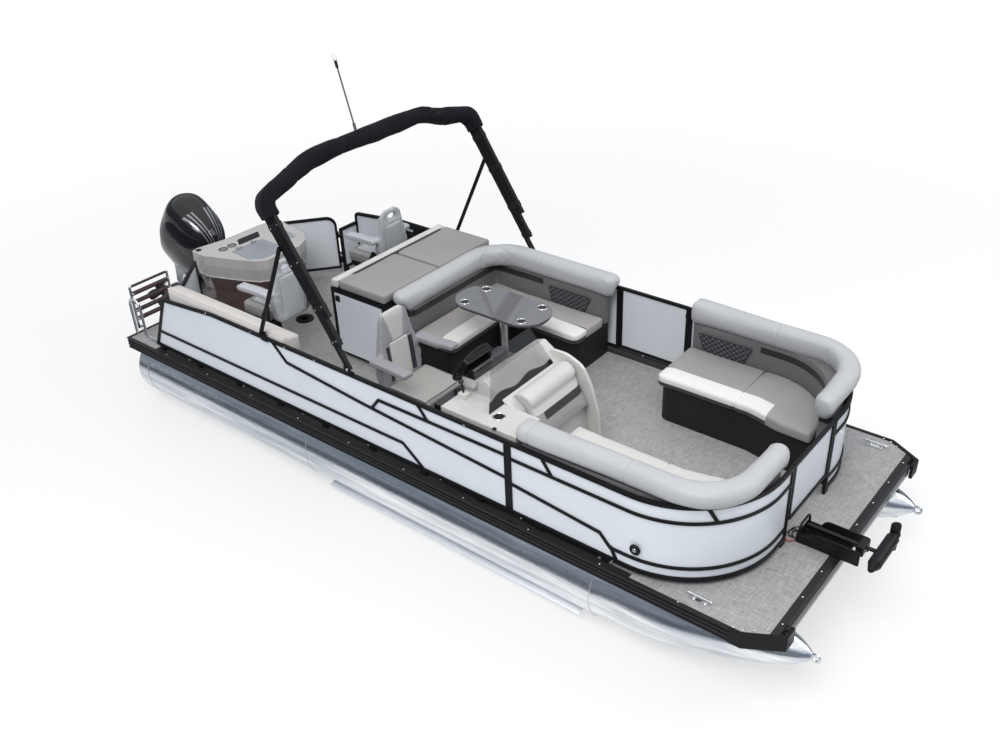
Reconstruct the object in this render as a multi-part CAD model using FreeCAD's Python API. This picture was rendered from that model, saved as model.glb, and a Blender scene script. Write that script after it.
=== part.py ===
import FreeCAD, Part
import math
import os

os.makedirs("parts", exist_ok=True)

# A 23-foot pontoon fishing boat, in millimetres.
# Working frame: X = 0 at the stern edge of the deck and positive to the bow,
# Y positive to port, Z = 0 on top of the deck.
# Every piece is moved at the end, so that the finished part has its origin
# at the centre of its length and beam, on the ground under the keels.
AFT_REACH = -1493.298
FORE_REACH = 7088.0

# Numbers that belong to the construction and not to a size
HALF_SHARE = 0.5
BEND_SHARE = 0.499
TINY_SHARE = 1e-7
FLAT_BEND_DEG = 89.0
RIGHT_DEG = 90.0
HALF_TURN_DEG = 180.0
FULL_TURN_DEG = 360.0

# Fits
SEAT_GAP = 0.3
SINK = 6.0

# Deck
DECK_LENGTH = 6780.0
DECK_HALF = 1270.0
DECK_CORNER_LONG = 220.0
DECK_CORNER_WIDE = 120.0
DECK_THICK = 22.0
DECK_CORNER_X = DECK_LENGTH - DECK_CORNER_LONG
DECK_CORNER_Y = DECK_HALF - DECK_CORNER_WIDE

# Rub rail round the sides and the stern
RAIL_OUT = 25.0
RAIL_DROP = 105.0
RAIL_RISE = 6.0
STERN_RAIL_DROP = 88.0
RAIL_RIB_DEEP = 6.0
RAIL_RIBS_Z = ((-96.0, -74.0), (-62.0, -40.0), (-28.0, -6.0))

# Bow channel and corner castings
CHANNEL_DEEP = 30.0
CHANNEL_DROP = 80.0
CHANNEL_WALL = 5.0
CASTING_LONG = 280.0
CASTING_BEND = 30.0
CASTING_WALL = 26.0
CASTING_NOSE = 58.0
CASTING_FLANGE = 110.0
CASTING_FIT = 1.0
CASTING_DROP = 112.0
CASTING_AFT_X = DECK_LENGTH - CASTING_LONG

# Pontoons
TUBE_R = 317.5
TUBE_INSET = 343.0
TUBE_Y = DECK_HALF - TUBE_INSET
TUBE_AFT_X = -34.0
TUBE_SHORT = 1380.0
TUBE_FRONT_X = DECK_LENGTH - TUBE_SHORT
RISER_TALL = 74.0
NOSE_SECTIONS = ((500.0, 296.0, 16.0), (900.0, 238.0, 58.0), (1200.0, 170.0, 92.0),
                 (1430.0, 95.0, 116.0), (1530.0, 30.0, 126.0))
KEEL_WIDE = 44.0
KEEL_TALL = 14.0
KEEL_AFT_X = 1600.0
GROUND_DROP = DECK_THICK + RISER_TALL + TUBE_R + TUBE_R + KEEL_TALL
TUBE_Z = -DECK_THICK - RISER_TALL - TUBE_R

# Tow eyes on the pontoon noses
EYE_R = 36.0
EYE_HOLE_R = 20.0
EYE_THICK = 14.0
EYE_AHEAD = 1558.0

# Under-deck frame
BEAM_PITCH = 610.0
BEAM_FIRST_X = 240.0
BEAM_END_GAP = 400.0
BEAM_WIDE = 70.0
BEAM_TALL = 66.0
BEAM_WALL = 6.0
BEAM_SHORT = 40.0
RISER_WIDE = 150.0
RISER_LOW = 114.0
RISER_AFT_X = 100.0
RISER_SHORT = 20.0

# Motor pod and transom
POD_AFT_X = -450.0
POD_FRONT_X = 700.0
POD_HALF = 330.0
POD_TOP_DROP = 88.0
POD_BOTTOM_DROP = 560.0
POD_NOSE_X = 330.0
POD_CHINE = 90.0
TRANSOM_TALL = -14.0
TRANSOM_THICK = 55.0

# Fences
FENCE_INSET = 38.0
FENCE_Y = DECK_HALF - FENCE_INSET
FENCE_TOP = 674.0
FENCE_BOTTOM = 38.0
FENCE_DEEP = 25.0
FENCE_TUBE = 30.0
FENCE_RAIL = 22.0
FENCE_HALF_DEEP = 12.0
FENCE_CORNER_R = 55.0
PANEL_THICK = 3.0
BOW_ARC_SHARE = 0.609
BOW_ARC_R = FENCE_Y * BOW_ARC_SHARE
FENCE_FRONT_SET = 350.0
FENCE_FRONT_X = DECK_LENGTH - FENCE_FRONT_SET
GATE_POST_SHARE = 0.2695
GATE_POST_Y = FENCE_Y * GATE_POST_SHARE
STBD_AFT_X = 389.0
AFT_TOP_X = 660.0
AFT_TOP_Z = 604.0
AFT_LEVEL_X = 1394.0
PORT_AFT_X = 690.0
POST_SHARE = 0.69145
POST_X = DECK_LENGTH * POST_SHARE
PORT_GATE_AFT_SHARE = 0.59823
PORT_GATE_FORE_SHARE = 0.70206
PORT_GATE_AFT_X = DECK_LENGTH * PORT_GATE_AFT_SHARE
PORT_GATE_FORE_X = DECK_LENGTH * PORT_GATE_FORE_SHARE
FOOT_PITCH = 560.0
FOOT_LONG = 60.0
# Inner rails, as distances ahead of the post amidships and heights
RAIL_A = ((-4350.0, 216.0), (-1048.0, 221.0), (-820.0, 40.0))
RAIL_B = ((-2498.0, 660.0), (-2339.0, 504.0), (-1458.0, 431.0), (2.0, 341.0))
RAIL_C = ((-1356.0, 430.0), (-1273.0, 533.0), (2.0, 543.0))
LINK_C = ((-857.0, 660.0), (-763.0, 543.0))
RAIL_D = ((2.0, 529.0), (1200.0, 529.0))
RAIL_E = ((2.0, 309.0), (786.0, 237.0), (872.0, 146.0), (1200.0, 146.0))
LINK_D = ((295.0, 660.0), (387.0, 533.0))
LINK_E = ((872.0, 160.0), (937.0, 40.0))
CURVE_D_Z = 529.0
CURVE_E_Z = 146.0

# Diagonal fences at the stern, each from the console to the side
STBD_DIAGONAL = ((335.0, -612.0), (828.0, -1205.0))
PORT_DIAGONAL = ((335.0, 530.0), (688.0, 952.0))
DIAGONAL_TOP = 655.0
DIAGONAL_CORNER_R = 110.0
WING_TOP = 500.0
WING_NEAR = 18.0
WING_BACK = 5.0

# Gates
GATE_GAP = 8.0
GATE_TUBE = 25.0
GATE_BOTTOM = 60.0
GATE_CORNER_R = 40.0
BOW_GATE_BOTTOM = 185.0

# Butt hinges
HINGE_TALL = 70.0
HINGE_R = 8.0
HINGE_PIN_R = 4.5
HINGE_HALF = 3.0
HINGE_OFF = 10.0
HINGE_NEAR = 5.0
HINGE_REACH = 26.0
HINGE_HEIGHTS = (120.0, 540.0)
STERN_HINGE_HEIGHTS = (110.0, 400.0)
BOW_HINGE_HEIGHTS = (230.0, 540.0)

# Cabinet behind the L-shaped lounge
CAB_AFT_SHARE = 0.2854
CAB_AFT_X = DECK_LENGTH * CAB_AFT_SHARE
CAB_LONG = 675.0
CAB_FORE_X = CAB_AFT_X + CAB_LONG
CAB_STBD_Y = -300.0
CAB_PORT_SET = 52.0
CAB_PORT_Y = FENCE_Y - CAB_PORT_SET
CAB_TOP = 700.0
CAB_WALL = 18.0
CAB_PAD_THICK = 90.0
CAB_BAND = 90.0
CAB_DOOR_BOTTOM = 50.0
CAB_DOOR_INSET = 36.0
CAB_DOOR_GAP = 6.0
CAB_KICK = 45.0

# Seats
SEAT_TOP = 430.0
SEAT_THICK = 110.0
BASE_INSET = 40.0
BASE_ROUND = 90.0
BACK_TOP = 677.0
BOLSTER_R = 76.0
BOLSTER_Z = 753.0
BOLSTER_BEND = 330.0
SEAT_ROUND = 30.0
SEAT_CORNER_R = 70.0

# L-shaped lounge on the port side
LOUNGE_AFT_GAP = 40.0
LOUNGE_FORE_SHARE = 0.59145
LOUNGE_AFT_X = CAB_FORE_X + LOUNGE_AFT_GAP
LOUNGE_FORE_X = DECK_LENGTH * LOUNGE_FORE_SHARE
LOUNGE_SEAT_LONG = 560.0
LOUNGE_FRONT_X = LOUNGE_AFT_X + LOUNGE_SEAT_LONG
LOUNGE_STBD_Y = -140.0
LOUNGE_BACK_DEEP = 110.0
LOUNGE_OUT_SET = 72.0
LOUNGE_WIDE = 550.0
LOUNGE_OUT_Y = FENCE_Y - LOUNGE_OUT_SET
LOUNGE_IN_Y = LOUNGE_OUT_Y - LOUNGE_WIDE

# Bow lounges
BOW_LOUNGE_WIDE = 770.0
BOW_IN_Y = FENCE_Y - BOW_LOUNGE_WIDE
BOW_PORT_GAP = 100.0
BOW_PORT_AFT_X = PORT_GATE_FORE_X + BOW_PORT_GAP
BOW_STBD_GAP = 72.0
BOW_STBD_AFT_X = POST_X + BOW_STBD_GAP
BOW_CUT_BACK = 730.0
BOW_CUT_RUN = 300.0
BOW_END_BACK = 140.0
BOW_END_OFF = 68.0
BOW_CUT_X = FENCE_FRONT_X - BOW_CUT_BACK
BOW_END_X = FENCE_FRONT_X - BOW_END_BACK
BOW_END_Y = GATE_POST_Y + BOW_END_OFF
BOW_BACK_DEEP = 120.0
BOW_STEPS = 6

# Table
TABLE_SHARE = 0.51077
TABLE_X = DECK_LENGTH * TABLE_SHARE
TABLE_Y = 287.0
TABLE_TOP_Z = 720.0
TABLE_THICK = 34.0
TABLE_EDGE = 10.0
TABLE_HALF_LONG = 463.0
TABLE_HALF_WIDE = 228.0
TABLE_CUT_LONG = 125.0
TABLE_CUT_WIDE = 130.0
TABLE_ROUND = 180.0
TABLE_LEG_R = 38.0
TABLE_FOOT_R = 85.0
TABLE_FOOT_TALL = 12.0
TABLE_HEAD_TALL = 30.0
CUP_R = 40.0
CUP_DEEP = 20.0
CUP_LONG = 307.0
CUP_WIDE = 148.0

# Chairs
HELM_CHAIR_SHARE = 0.50516
FISH_CHAIR_SHARE = 0.2074
HELM_CHAIR_SET = 492.0
FISH_PORT_SET = 430.0
FISH_STBD_SET = 682.0
HELM_CHAIR_AT = (DECK_LENGTH * HELM_CHAIR_SHARE, HELM_CHAIR_SET - FENCE_Y)
FISH_PORT_AT = (DECK_LENGTH * FISH_CHAIR_SHARE, FENCE_Y - FISH_PORT_SET)
FISH_STBD_AT = (DECK_LENGTH * FISH_CHAIR_SHARE, FISH_STBD_SET - FENCE_Y)
SPARE_SOCKET_AT = (1149.0, -22.0)
SOCKET_R = 90.0
SOCKET_TALL = 10.0
POST_R = 38.0
POST_BASE_R = 55.0
POST_BASE_TALL = 60.0
CUP_WALL_R = 44.0
CUP_BORE_R = 38.5
CUP_TALL = 90.0
CUP_FLOOR = 6.0
CHAIR_POST_TALL = 300.0
CHAIR_SEAT_HALF = 255.0
CHAIR_SEAT_AFT = -190.0
CHAIR_SEAT_FORE = 285.0
CHAIR_SEAT_Z = 345.0
CHAIR_SEAT_THICK = 110.0
CHAIR_BACK_THICK = 100.0
CHAIR_BACK_TOP = 1060.0
CHAIR_BACK_LEAN = 60.0
CHAIR_BACK_R = 110.0
CHAIR_HEAD_SHARE = 0.58
FISH_RISE = 75.0
CHAIR_BACK_NARROW = 45.0
CHAIR_CORNER_R = 60.0
CHAIR_PAN = 20.0
CHAIR_ARM_Z = 720.0
CHAIR_ARM_THICK = 62.0
CHAIR_ARM_WIDE = 70.0
CHAIR_ARM_FORE = 150.0
CHAIR_ARM_R = 25.0
FISH_BACK_TOP = 1030.0
FISH_SEAT_HALF = 215.0
FISH_SEAT_AFT = -170.0
FISH_SEAT_FORE = 230.0
FISH_GRIP_HALF = 55.0
FISH_GRIP_LOW = 915.0
FISH_GRIP_HIGH = 970.0
FISH_GRIP_R = 20.0

# Helm console
HELM_FORE_SHARE = 0.66962
HELM_LONG = 560.0
HELM_FORE_X = DECK_LENGTH * HELM_FORE_SHARE
HELM_AFT_X = HELM_FORE_X - HELM_LONG
HELM_STBD_SET = 42.0
HELM_DECK_SET = 332.0
HELM_STBD_Y = HELM_STBD_SET - FENCE_Y
HELM_DECK_Y = HELM_DECK_SET - FENCE_Y
HELM_PORT_Y = -140.0
HELM_SIDE_Z = 700.0
HELM_SHELF_AHEAD = 200.0
HELM_SHELF_THICK = 60.0
# Side view of the console, as distances ahead of its aft face and heights
HELM_PROFILE = ((0.0, 0.0), (0.0, 560.0), (75.0, 640.0), (155.0, 800.0), (245.0, 835.0), (400.0, 735.0),
                (470.0, 702.0), (540.0, 640.0), (660.0, 430.0), (735.0, 0.0))
HELM_ROUND = 24.0
HELM_KNEE_AFT = 300.0
HELM_KNEE_HIGH = 540.0
HELM_KNEE_WALL = 30.0
HELM_PAD_HALF = 300.0
HELM_PAD_Y = -510.0
HELM_ROLL_R = 100.0
HELM_ROLL_AHEAD = 505.0
HELM_ROLL_Z = 672.0
HELM_PAD_RUN = 223.0
HELM_PAD_LAP = 12.0
BINNACLE_AHEAD = 60.0
BINNACLE_LONG = 130.0
BINNACLE_HALF = 200.0
BINNACLE_LOW = 760.0
BINNACLE_HIGH = 930.0

# Windscreen
SCREEN_THICK = 6.0
SCREEN_FOOT_AHEAD = 425.0
SCREEN_HEAD_AHEAD = 215.0
SCREEN_HEAD_Z = 1000.0
SCREEN_OUT_Y = -1070.0
SCREEN_IN_Y = -255.0
SCREEN_NARROW = 300.0
SCREEN_TAPER = 45.0
SCREEN_CORNER_R = 25.0

# Steering wheel
WHEEL_R = 178.0
WHEEL_GRIP = 14.0
WHEEL_HUB_R = 42.0
WHEEL_HUB_DEEP = 26.0
WHEEL_SPOKE_R = 9.0
WHEEL_SPOKE_DEG = (90.0, 210.0, 330.0)
WHEEL_BEHIND = 10.0
WHEEL_Z = 830.0
WHEEL_RAKE_DEG = 30.0
COLUMN_R = 20.0
COLUMN_LONG = 210.0

# Throttle
LEVER_AHEAD = 130.0
LEVER_Y = -1000.0
LEVER_R = 9.0
LEVER_LONG = 130.0
LEVER_KNOB_R = 20.0
LEVER_BOX = (70.0, 28.0, 40.0)

# Stern console with the livewell
STERN_TOP = 710.0
STERN_TOP_PLAN = ((225.0, -480.0), (245.0, -552.0), (430.0, -555.0), (760.0, -435.0), (960.0, -345.0),
                  (1030.0, -255.0), (1040.0, 140.0), (970.0, 275.0), (850.0, 365.0), (440.0, 445.0),
                  (350.0, 470.0), (298.0, 260.0), (285.0, -190.0))
STERN_WAIST_SHARE = 0.9
STERN_FOOT_SHARE = 0.93
STERN_LIP = 95.0
STERN_WAIST_Z = 330.0
STERN_CORNER_R = 22.0
LID_PLAN = ((585.0, -330.0), (860.0, -350.0), (960.0, -260.0), (975.0, -20.0), (900.0, 30.0), (600.0, 30.0))
LID_ROUND = 25.0
LID_THICK = 16.0
LID_GAP = 6.0
WELL_LEDGE = 28.0
WELL_DEEP = 300.0
HATCH_PLAN = ((560.0, 200.0), (820.0, 180.0), (860.0, 240.0), (800.0, 300.0), (560.0, 330.0))
HATCH_DEEP = 3.0
STERN_CUPS = ((470.0, -240.0), (470.0, -345.0))

# Padded cover along the starboard stern fence
COVER_AFT_X = 700.0
COVER_FORE_X = 2360.0
COVER_WIDE = 157.0
COVER_Z = 545.0
COVER_TOP = 735.0

# Boarding ladder at the starboard quarter
LADDER_X = -95.0
LADDER_OUT_SET = 132.0
LADDER_WIDE = 430.0
LADDER_OUT_Y = FENCE_Y - LADDER_OUT_SET
LADDER_IN_Y = LADDER_OUT_Y - LADDER_WIDE
LADDER_TUBE_R = 13.0
LADDER_TALL = 450.0
LADDER_STEPS = 4
LADDER_STEP_DEEP = 60.0
LADDER_STEP_THICK = 22.0
LADDER_ARM = 8.0
EAR_GAP = 2.5
HOOP_SET = 80.0
HOOP_X = (150.0, -12.0)
HOOP_TALL = 400.0
HOOP_BEND = 85.0
HOOP_PITCH = 560.0

# Folded bimini top
BIMINI_SHARE = 0.46018
BIMINI_X = DECK_LENGTH * BIMINI_SHARE
BIMINI_Z = 715.0
BIMINI_LEAN_DEG = 33.2
BIMINI_INSET = 12.5
BIMINI_HALF = FENCE_Y - BIMINI_INSET
BIMINI_LONG = 1600.0
BIMINI_SHOULDER = 170.0
BIMINI_CROWN_HALF = 620.0
BIMINI_CORNER_R = 200.0
BIMINI_TUBE = 38.0
BOW_TUBE_R = 4.0
BUNDLE_PITCH = 48.0
BUNDLE_STARTS = (190.0, 420.0)
BOOT_FROM = 1275.0
BOOT_R = 88.0
BOOT_FLAT_SHARE = 0.78
BRACE_BACK = 1010.0
BRACE_OUT = 26.0
BRACE_X = BIMINI_X - BRACE_BACK
BRACE_Y = FENCE_Y + BRACE_OUT
BRACE_LEAN_DEG = 26.0
BRACE_APEX_RAD = math.radians(BIMINI_LEAN_DEG + BRACE_LEAN_DEG)
BRACE_LONG = BRACE_BACK * math.cos(math.radians(BIMINI_LEAN_DEG)) / math.sin(BRACE_APEX_RAD)
BRACE_TUBE = 28.0
BRACE_PIN_LONG = 18.5
MOUNT_TALL = 12.0
EAR_THICK = 4.0
PIVOT_R = 6.0
FOOT_OVER = 15.0

# Light pole on top of the folded bimini top
POLE_Y = -100.0
POLE_TALL = 560.0
POLE_R = 7.0
POLE_LEAN_DEG = 15.0
POLE_LAMP_R = 18.0
POLE_LAMP_TALL = 45.0
POLE_COLLAR_R = 13.0
POLE_COLLAR_TALL = 60.0

# Outboard motor, drawn upright about its tilt axis and then tilted up
MOTOR_TILT_X = -530.0
MOTOR_TILT_Z = -60.0
MOTOR_TILT_DEG = 35.0
COWL_PLAN = ((-668.0, 105.0), (-590.0, 203.0), (-350.0, 243.0), (-90.0, 212.0), (52.0, 92.0))
# Sections of the cowl: height, share of the plan, shift forward
COWL_SECTIONS = ((232.0, 0.93, 0.0), (359.0, 1.0, 0.0), (583.0, 0.985, -6.0), (712.0, 0.87, -26.0),
                 (779.0, 0.67, -46.0), (802.0, 0.5, -57.0), (812.0, 0.3, -66.0))
SKIRT_SECTIONS = ((70.0, 0.72, -30.0), (150.0, 0.86, -10.0), (231.7, 0.915, 0.0))
SKIRT_TAIL = ((70.0, -430.0, -168.0, 120.0), (-110.0, -370.0, -168.0, 85.0), (-330.0, -325.0, -168.0, 42.0))
SKIRT_TAIL_ROUND = 30.0
LEG_HALF = 65.0
LEG_WIDE_HALF = 32.0
LEG_FRONT = -170.0
LEG_ROUND = 22.0
GEAR_R = 62.0
GEAR_Z = -770.0
GEAR_FORE = -80.0
GEAR_AFT = -420.0
GEAR_NOSE = 70.0
SKEG_LOW = -930.0
PLATE_Z = -600.0
PLATE_HALF = 110.0
PLATE_THICK = 12.0
PROP_R = 180.0
PROP_HUB_R = 55.0
PROP_HUB_LONG = 150.0
PROP_BLADES = 3
PROP_THICK = 10.0
PROP_ROOT_HALF = 40.0
PROP_TIP_HALF = 85.0
PROP_ROUND = 45.0
PROP_PITCH_DEG = 28.0
PROP_SHAFT_R = 14.0
PROP_GAP = 2.0
STEER_X = -75.0
YOKE_HALF = 45.0
SWIVEL_R = 52.0
SWIVEL_HALF = 60.0
SWIVEL_GAP = 8.0
SWIVEL_LOW = -420.0
SWIVEL_BLOCK_LOW = -200.0
SWIVEL_HIGH = 34.0
SWIVEL_NOSE = 20.0
TILT_TUBE_R = 14.0
CLAMP_BACK = 30.0
CLAMP_THICK = 22.0
CLAMP_LOW = -420.0
CLAMP_STEP = -118.0

# Trolling motor on the bow
TROLL_Y = -180.0
TROLL_Z = 115.0
TROLL_BASE_AFT_SET = 300.0
TROLL_BASE_FORE_SET = 48.0
TROLL_BASE_AFT = DECK_LENGTH - TROLL_BASE_AFT_SET
TROLL_BASE_FORE = DECK_LENGTH + TROLL_BASE_FORE_SET
TROLL_BASE_HALF = 95.0
TROLL_BASE_TALL = 66.0
TROLL_BASE_WALL = 8.0
TROLL_PIVOT_SET = 130.0
TROLL_PIVOT_X = DECK_LENGTH + TROLL_PIVOT_SET
TROLL_BRACKET_HALF = 60.0
TROLL_BRACKET_TALL = 28.0
TROLL_PIN_R = 10.0
TROLL_PIN_DROP = 32.0
TROLL_SHAFT_R = 15.0
TROLL_SHAFT_BACK = 390.0
TROLL_MOTOR_SET = 262.0
TROLL_MOTOR_X = DECK_LENGTH + TROLL_MOTOR_SET
TROLL_MOTOR_R = 46.0
TROLL_MOTOR_HALF = 190.0
TROLL_NOSE_LONG = 60.0
TROLL_PROP_R = 120.0
TROLL_PROP_HUB = 34.0
TROLL_PROP_LONG = 60.0
TROLL_BLADE_HALF = 34.0
TROLL_BLADE_ROUND = 28.0
TROLL_HANDLE_HIGH = 150.0
TROLL_HANDLE_R = 9.0

# Foot pedal
PEDAL_SHARE = 0.76549
PEDAL_AT = (DECK_LENGTH * PEDAL_SHARE, -330.0)
PEDAL_LONG = 250.0
PEDAL_WIDE = 140.0
PEDAL_LOW = 22.0
PEDAL_TALL = 58.0
PEDAL_ROUND = 24.0

# Cleats
CLEAT_SET = 90.0
CLEAT_BOW_BACK = (550.0, 280.0)
CLEAT_STERN_X = 290.0
CLEAT_LONG = 170.0
CLEAT_R = 10.0
CLEAT_TALL = 34.0
CLEAT_BASE = (110.0, 32.0, 6.0)


def vec(x, y, z):
    return FreeCAD.Vector(x, y, z)


def box(x0, x1, y0, y1, z0, z1):
    return Part.makeBox(x1 - x0, y1 - y0, z1 - z0, vec(x0, y0, z0))


def rod(start, end, radius):
    axis = end.sub(start)
    return Part.makeCylinder(radius, axis.Length, start, axis)


def ball(centre, radius):
    return Part.makeSphere(radius, centre)


def mirror(shape):
    return shape.mirror(vec(0, 0, 0), vec(0, 1, 0))


def union(shapes):
    whole = shapes[0]
    if len(shapes) > 1:
        whole = shapes[0].fuse(shapes[1:])
    return whole.removeSplitter()


def turned(shape, degrees, x=0, y=0, z=0):
    # shape turned about the vertical line through the origin, then moved
    shape.rotate(vec(0, 0, 0), vec(0, 0, 1), degrees)
    shape.translate(vec(x, y, z))
    return shape


def bend_edges(points, radius, closed):
    # straight runs joined by tangent arcs; radius is one value or one per point
    count = len(points)
    cuts = []
    for i in range(count):
        here = points[i]
        r = radius[i] if isinstance(radius, (tuple, list)) else radius
        if not closed and i in (0, count - 1) or r == 0:
            cuts.append((here, None, here))
            continue
        back = points[i - 1].sub(here)
        ahead = points[(i + 1) % count].sub(here)
        a = FreeCAD.Vector(back).normalize()
        b = FreeCAD.Vector(ahead).normalize()
        half = a.getAngle(b) * HALF_SHARE
        if half > math.radians(FLAT_BEND_DEG):
            cuts.append((here, None, here))
            continue
        run = min(r / math.tan(half), back.Length * BEND_SHARE, ahead.Length * BEND_SHARE)
        r = run * math.tan(half)
        middle = FreeCAD.Vector(a.add(b)).normalize()
        centre = here.add(middle.multiply(math.hypot(run, r)))
        first = here.add(FreeCAD.Vector(a).multiply(run))
        last = here.add(FreeCAD.Vector(b).multiply(run))
        toward = FreeCAD.Vector(here.sub(centre)).normalize().multiply(r)
        cuts.append((first, centre.add(toward), last))
    edges = []
    for i in range(count):
        first, top, last = cuts[i]
        if top is not None:
            edges.append(Part.Arc(first, top, last).toShape())
        if i == count - 1 and not closed:
            continue
        after = cuts[(i + 1) % count][0]
        if after.sub(last).Length > DECK_LENGTH * TINY_SHARE:
            edges.append(Part.makeLine(last, after))
    return edges


def wire_of(points, radius, closed=True):
    return Part.Wire(bend_edges(points, radius, closed))


def plan(points, z0, z1, radius=0):
    wire = wire_of([vec(p[0], p[1], z0) for p in points], radius)
    return Part.Face(wire).extrude(vec(0, 0, z1 - z0))


def side(points, y0, y1, radius=0):
    wire = wire_of([vec(p[0], y0, p[1]) for p in points], radius)
    return Part.Face(wire).extrude(vec(0, y1 - y0, 0))


def front(points, x0, x1, radius=0):
    wire = wire_of([vec(x0, p[0], p[1]) for p in points], radius)
    return Part.Face(wire).extrude(vec(x1 - x0, 0, 0))


def pipe(points, radius, bend, closed=False):
    path = wire_of([vec(*p) for p in points], bend, closed)
    edge = path.Edges[0]
    start = edge.valueAt(edge.FirstParameter)
    along = edge.tangentAt(edge.FirstParameter)
    ring = Part.Wire(Part.makeCircle(radius, start, along))
    return path.makePipeShell([ring], True, True)


def square_pipe(points, half_wide, half_deep, corner, bend):
    # square tube along a flat bent line; the first way across is along Y
    path = wire_of([vec(*p) for p in points], bend, False)
    edge = path.Edges[0]
    start = edge.valueAt(edge.FirstParameter)
    along = edge.tangentAt(edge.FirstParameter)
    over = along.cross(vec(0, 1, 0)).normalize()
    corners = []
    for a, b in ((-half_wide, -half_deep), (half_wide, -half_deep), (half_wide, half_deep), (-half_wide, half_deep)):
        corners.append(start.add(vec(0, a, 0)).add(FreeCAD.Vector(over).multiply(b)))
    return path.makePipeShell([wire_of(corners, corner)], True, True)


def stroke(points, width):
    # outline of a bar of even width along a bent line, with mitred corners
    half = width * HALF_SHARE
    left = []
    right = []
    count = len(points)
    for i in range(count):
        normals = []
        for j in (i - 1, i):
            if 0 <= j < count - 1:
                dx = points[j + 1][0] - points[j][0]
                dz = points[j + 1][1] - points[j][1]
                length = math.hypot(dx, dz)
                normals.append((-dz / length, dx / length))
        nx = sum(n[0] for n in normals) / len(normals)
        nz = sum(n[1] for n in normals) / len(normals)
        size = nx * nx + nz * nz
        left.append((points[i][0] + nx * half / size, points[i][1] + nz * half / size))
        right.append((points[i][0] - nx * half / size, points[i][1] - nz * half / size))
    return left + right[::-1]


def shrunk(points, inset):
    # closed outline drawn in evenly; the points run anticlockwise
    made = []
    count = len(points)
    for i in range(count):
        normals = []
        for j in (i - 1, i):
            a = points[j % count]
            b = points[(j + 1) % count]
            length = math.hypot(b[0] - a[0], b[1] - a[1])
            normals.append(((a[1] - b[1]) / length, (b[0] - a[0]) / length))
        nx = (normals[0][0] + normals[1][0]) * HALF_SHARE
        ny = (normals[0][1] + normals[1][1]) * HALF_SHARE
        size = nx * nx + ny * ny
        made.append((points[i][0] + nx * inset / size, points[i][1] + ny * inset / size))
    return made


def scaled(points, share, shift=0):
    # outline drawn in or out about its middle, then moved ahead
    cx = sum(p[0] for p in points) / len(points)
    cy = sum(p[1] for p in points) / len(points)
    return [(cx + (p[0] - cx) * share + shift, cy + (p[1] - cy) * share) for p in points]


def framed(outer, tube, radius, make):
    # outline tube and the panel opening inside it; make(points, near, far, radius) draws each
    inner = shrunk(outer, tube)
    inside = [max(r - tube, 0) for r in radius]
    frame = make(outer, 0, FENCE_DEEP, radius).cut(make(inner, -FENCE_DEEP, FENCE_DEEP + FENCE_DEEP, inside))
    panel = make(inner, FENCE_HALF_DEEP, FENCE_HALF_DEEP + PANEL_THICK, inside)
    hole = make(inner, 0, FENCE_DEEP, inside)
    return frame, panel, hole


def fence_band(near, far, z0, z1, x_from, y_to):
    # wall of the starboard fence between two depths, round the bow corner
    centre_x = FENCE_FRONT_X - BOW_ARC_R
    centre_y = -FENCE_Y + BOW_ARC_R
    edges = []
    ends = []
    turn = math.sqrt(HALF_SHARE)
    for depth in (near, far):
        r = BOW_ARC_R - depth
        start = vec(centre_x, centre_y - r, z0)
        middle = vec(centre_x + r * turn, centre_y - r * turn, z0)
        end = vec(centre_x + r, centre_y, z0)
        aft = vec(x_from, centre_y - r, z0)
        tip = vec(centre_x + r, y_to, z0)
        if aft.sub(start).Length > DECK_LENGTH * TINY_SHARE:
            edges.append(Part.makeLine(aft, start))
        edges.append(Part.Arc(start, middle, end).toShape())
        if tip.sub(end).Length > DECK_LENGTH * TINY_SHARE:
            edges.append(Part.makeLine(end, tip))
        ends.append((aft, tip))
    edges.append(Part.makeLine(ends[0][1], ends[1][1]))
    edges.append(Part.makeLine(ends[0][0], ends[1][0]))
    wire = Part.Wire(Part.__sortEdges__(edges))
    return Part.Face(wire).extrude(vec(0, 0, z1 - z0))


def pontoons():
    tube = rod(vec(TUBE_AFT_X, -TUBE_Y, TUBE_Z), vec(TUBE_FRONT_X, -TUBE_Y, TUBE_Z), TUBE_R)
    rings = [Part.Wire(Part.makeCircle(TUBE_R, vec(TUBE_FRONT_X, -TUBE_Y, TUBE_Z), vec(1, 0, 0)))]
    low = [(KEEL_AFT_X, TUBE_Z - TUBE_R), (TUBE_FRONT_X, TUBE_Z - TUBE_R)]
    for ahead, r, rise in NOSE_SECTIONS:
        x = TUBE_FRONT_X + ahead
        rings.append(Part.Wire(Part.makeCircle(r, vec(x, -TUBE_Y, TUBE_Z + rise), vec(1, 0, 0))))
        low.append((x, TUBE_Z + rise - r))
    nose = Part.makeLoft(rings, True, False)
    low = low[:-1]
    strip = [(x, z - KEEL_TALL) for x, z in low] + [(x, z + SINK) for x, z in low[::-1]]
    keel = side(strip, -TUBE_Y - KEEL_WIDE * HALF_SHARE, -TUBE_Y + KEEL_WIDE * HALF_SHARE)
    ahead, r, rise = NOSE_SECTIONS[-1]
    low = vec(TUBE_FRONT_X + EYE_AHEAD, -TUBE_Y - EYE_THICK * HALF_SHARE, TUBE_Z + rise)
    eye = Part.makeCylinder(EYE_R, EYE_THICK, low, vec(0, 1, 0))
    hole = Part.makeCylinder(EYE_HOLE_R, EYE_THICK, low, vec(0, 1, 0))
    one = union([tube, nose, keel, eye]).cut(hole)
    return [one, mirror(one)]


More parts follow.
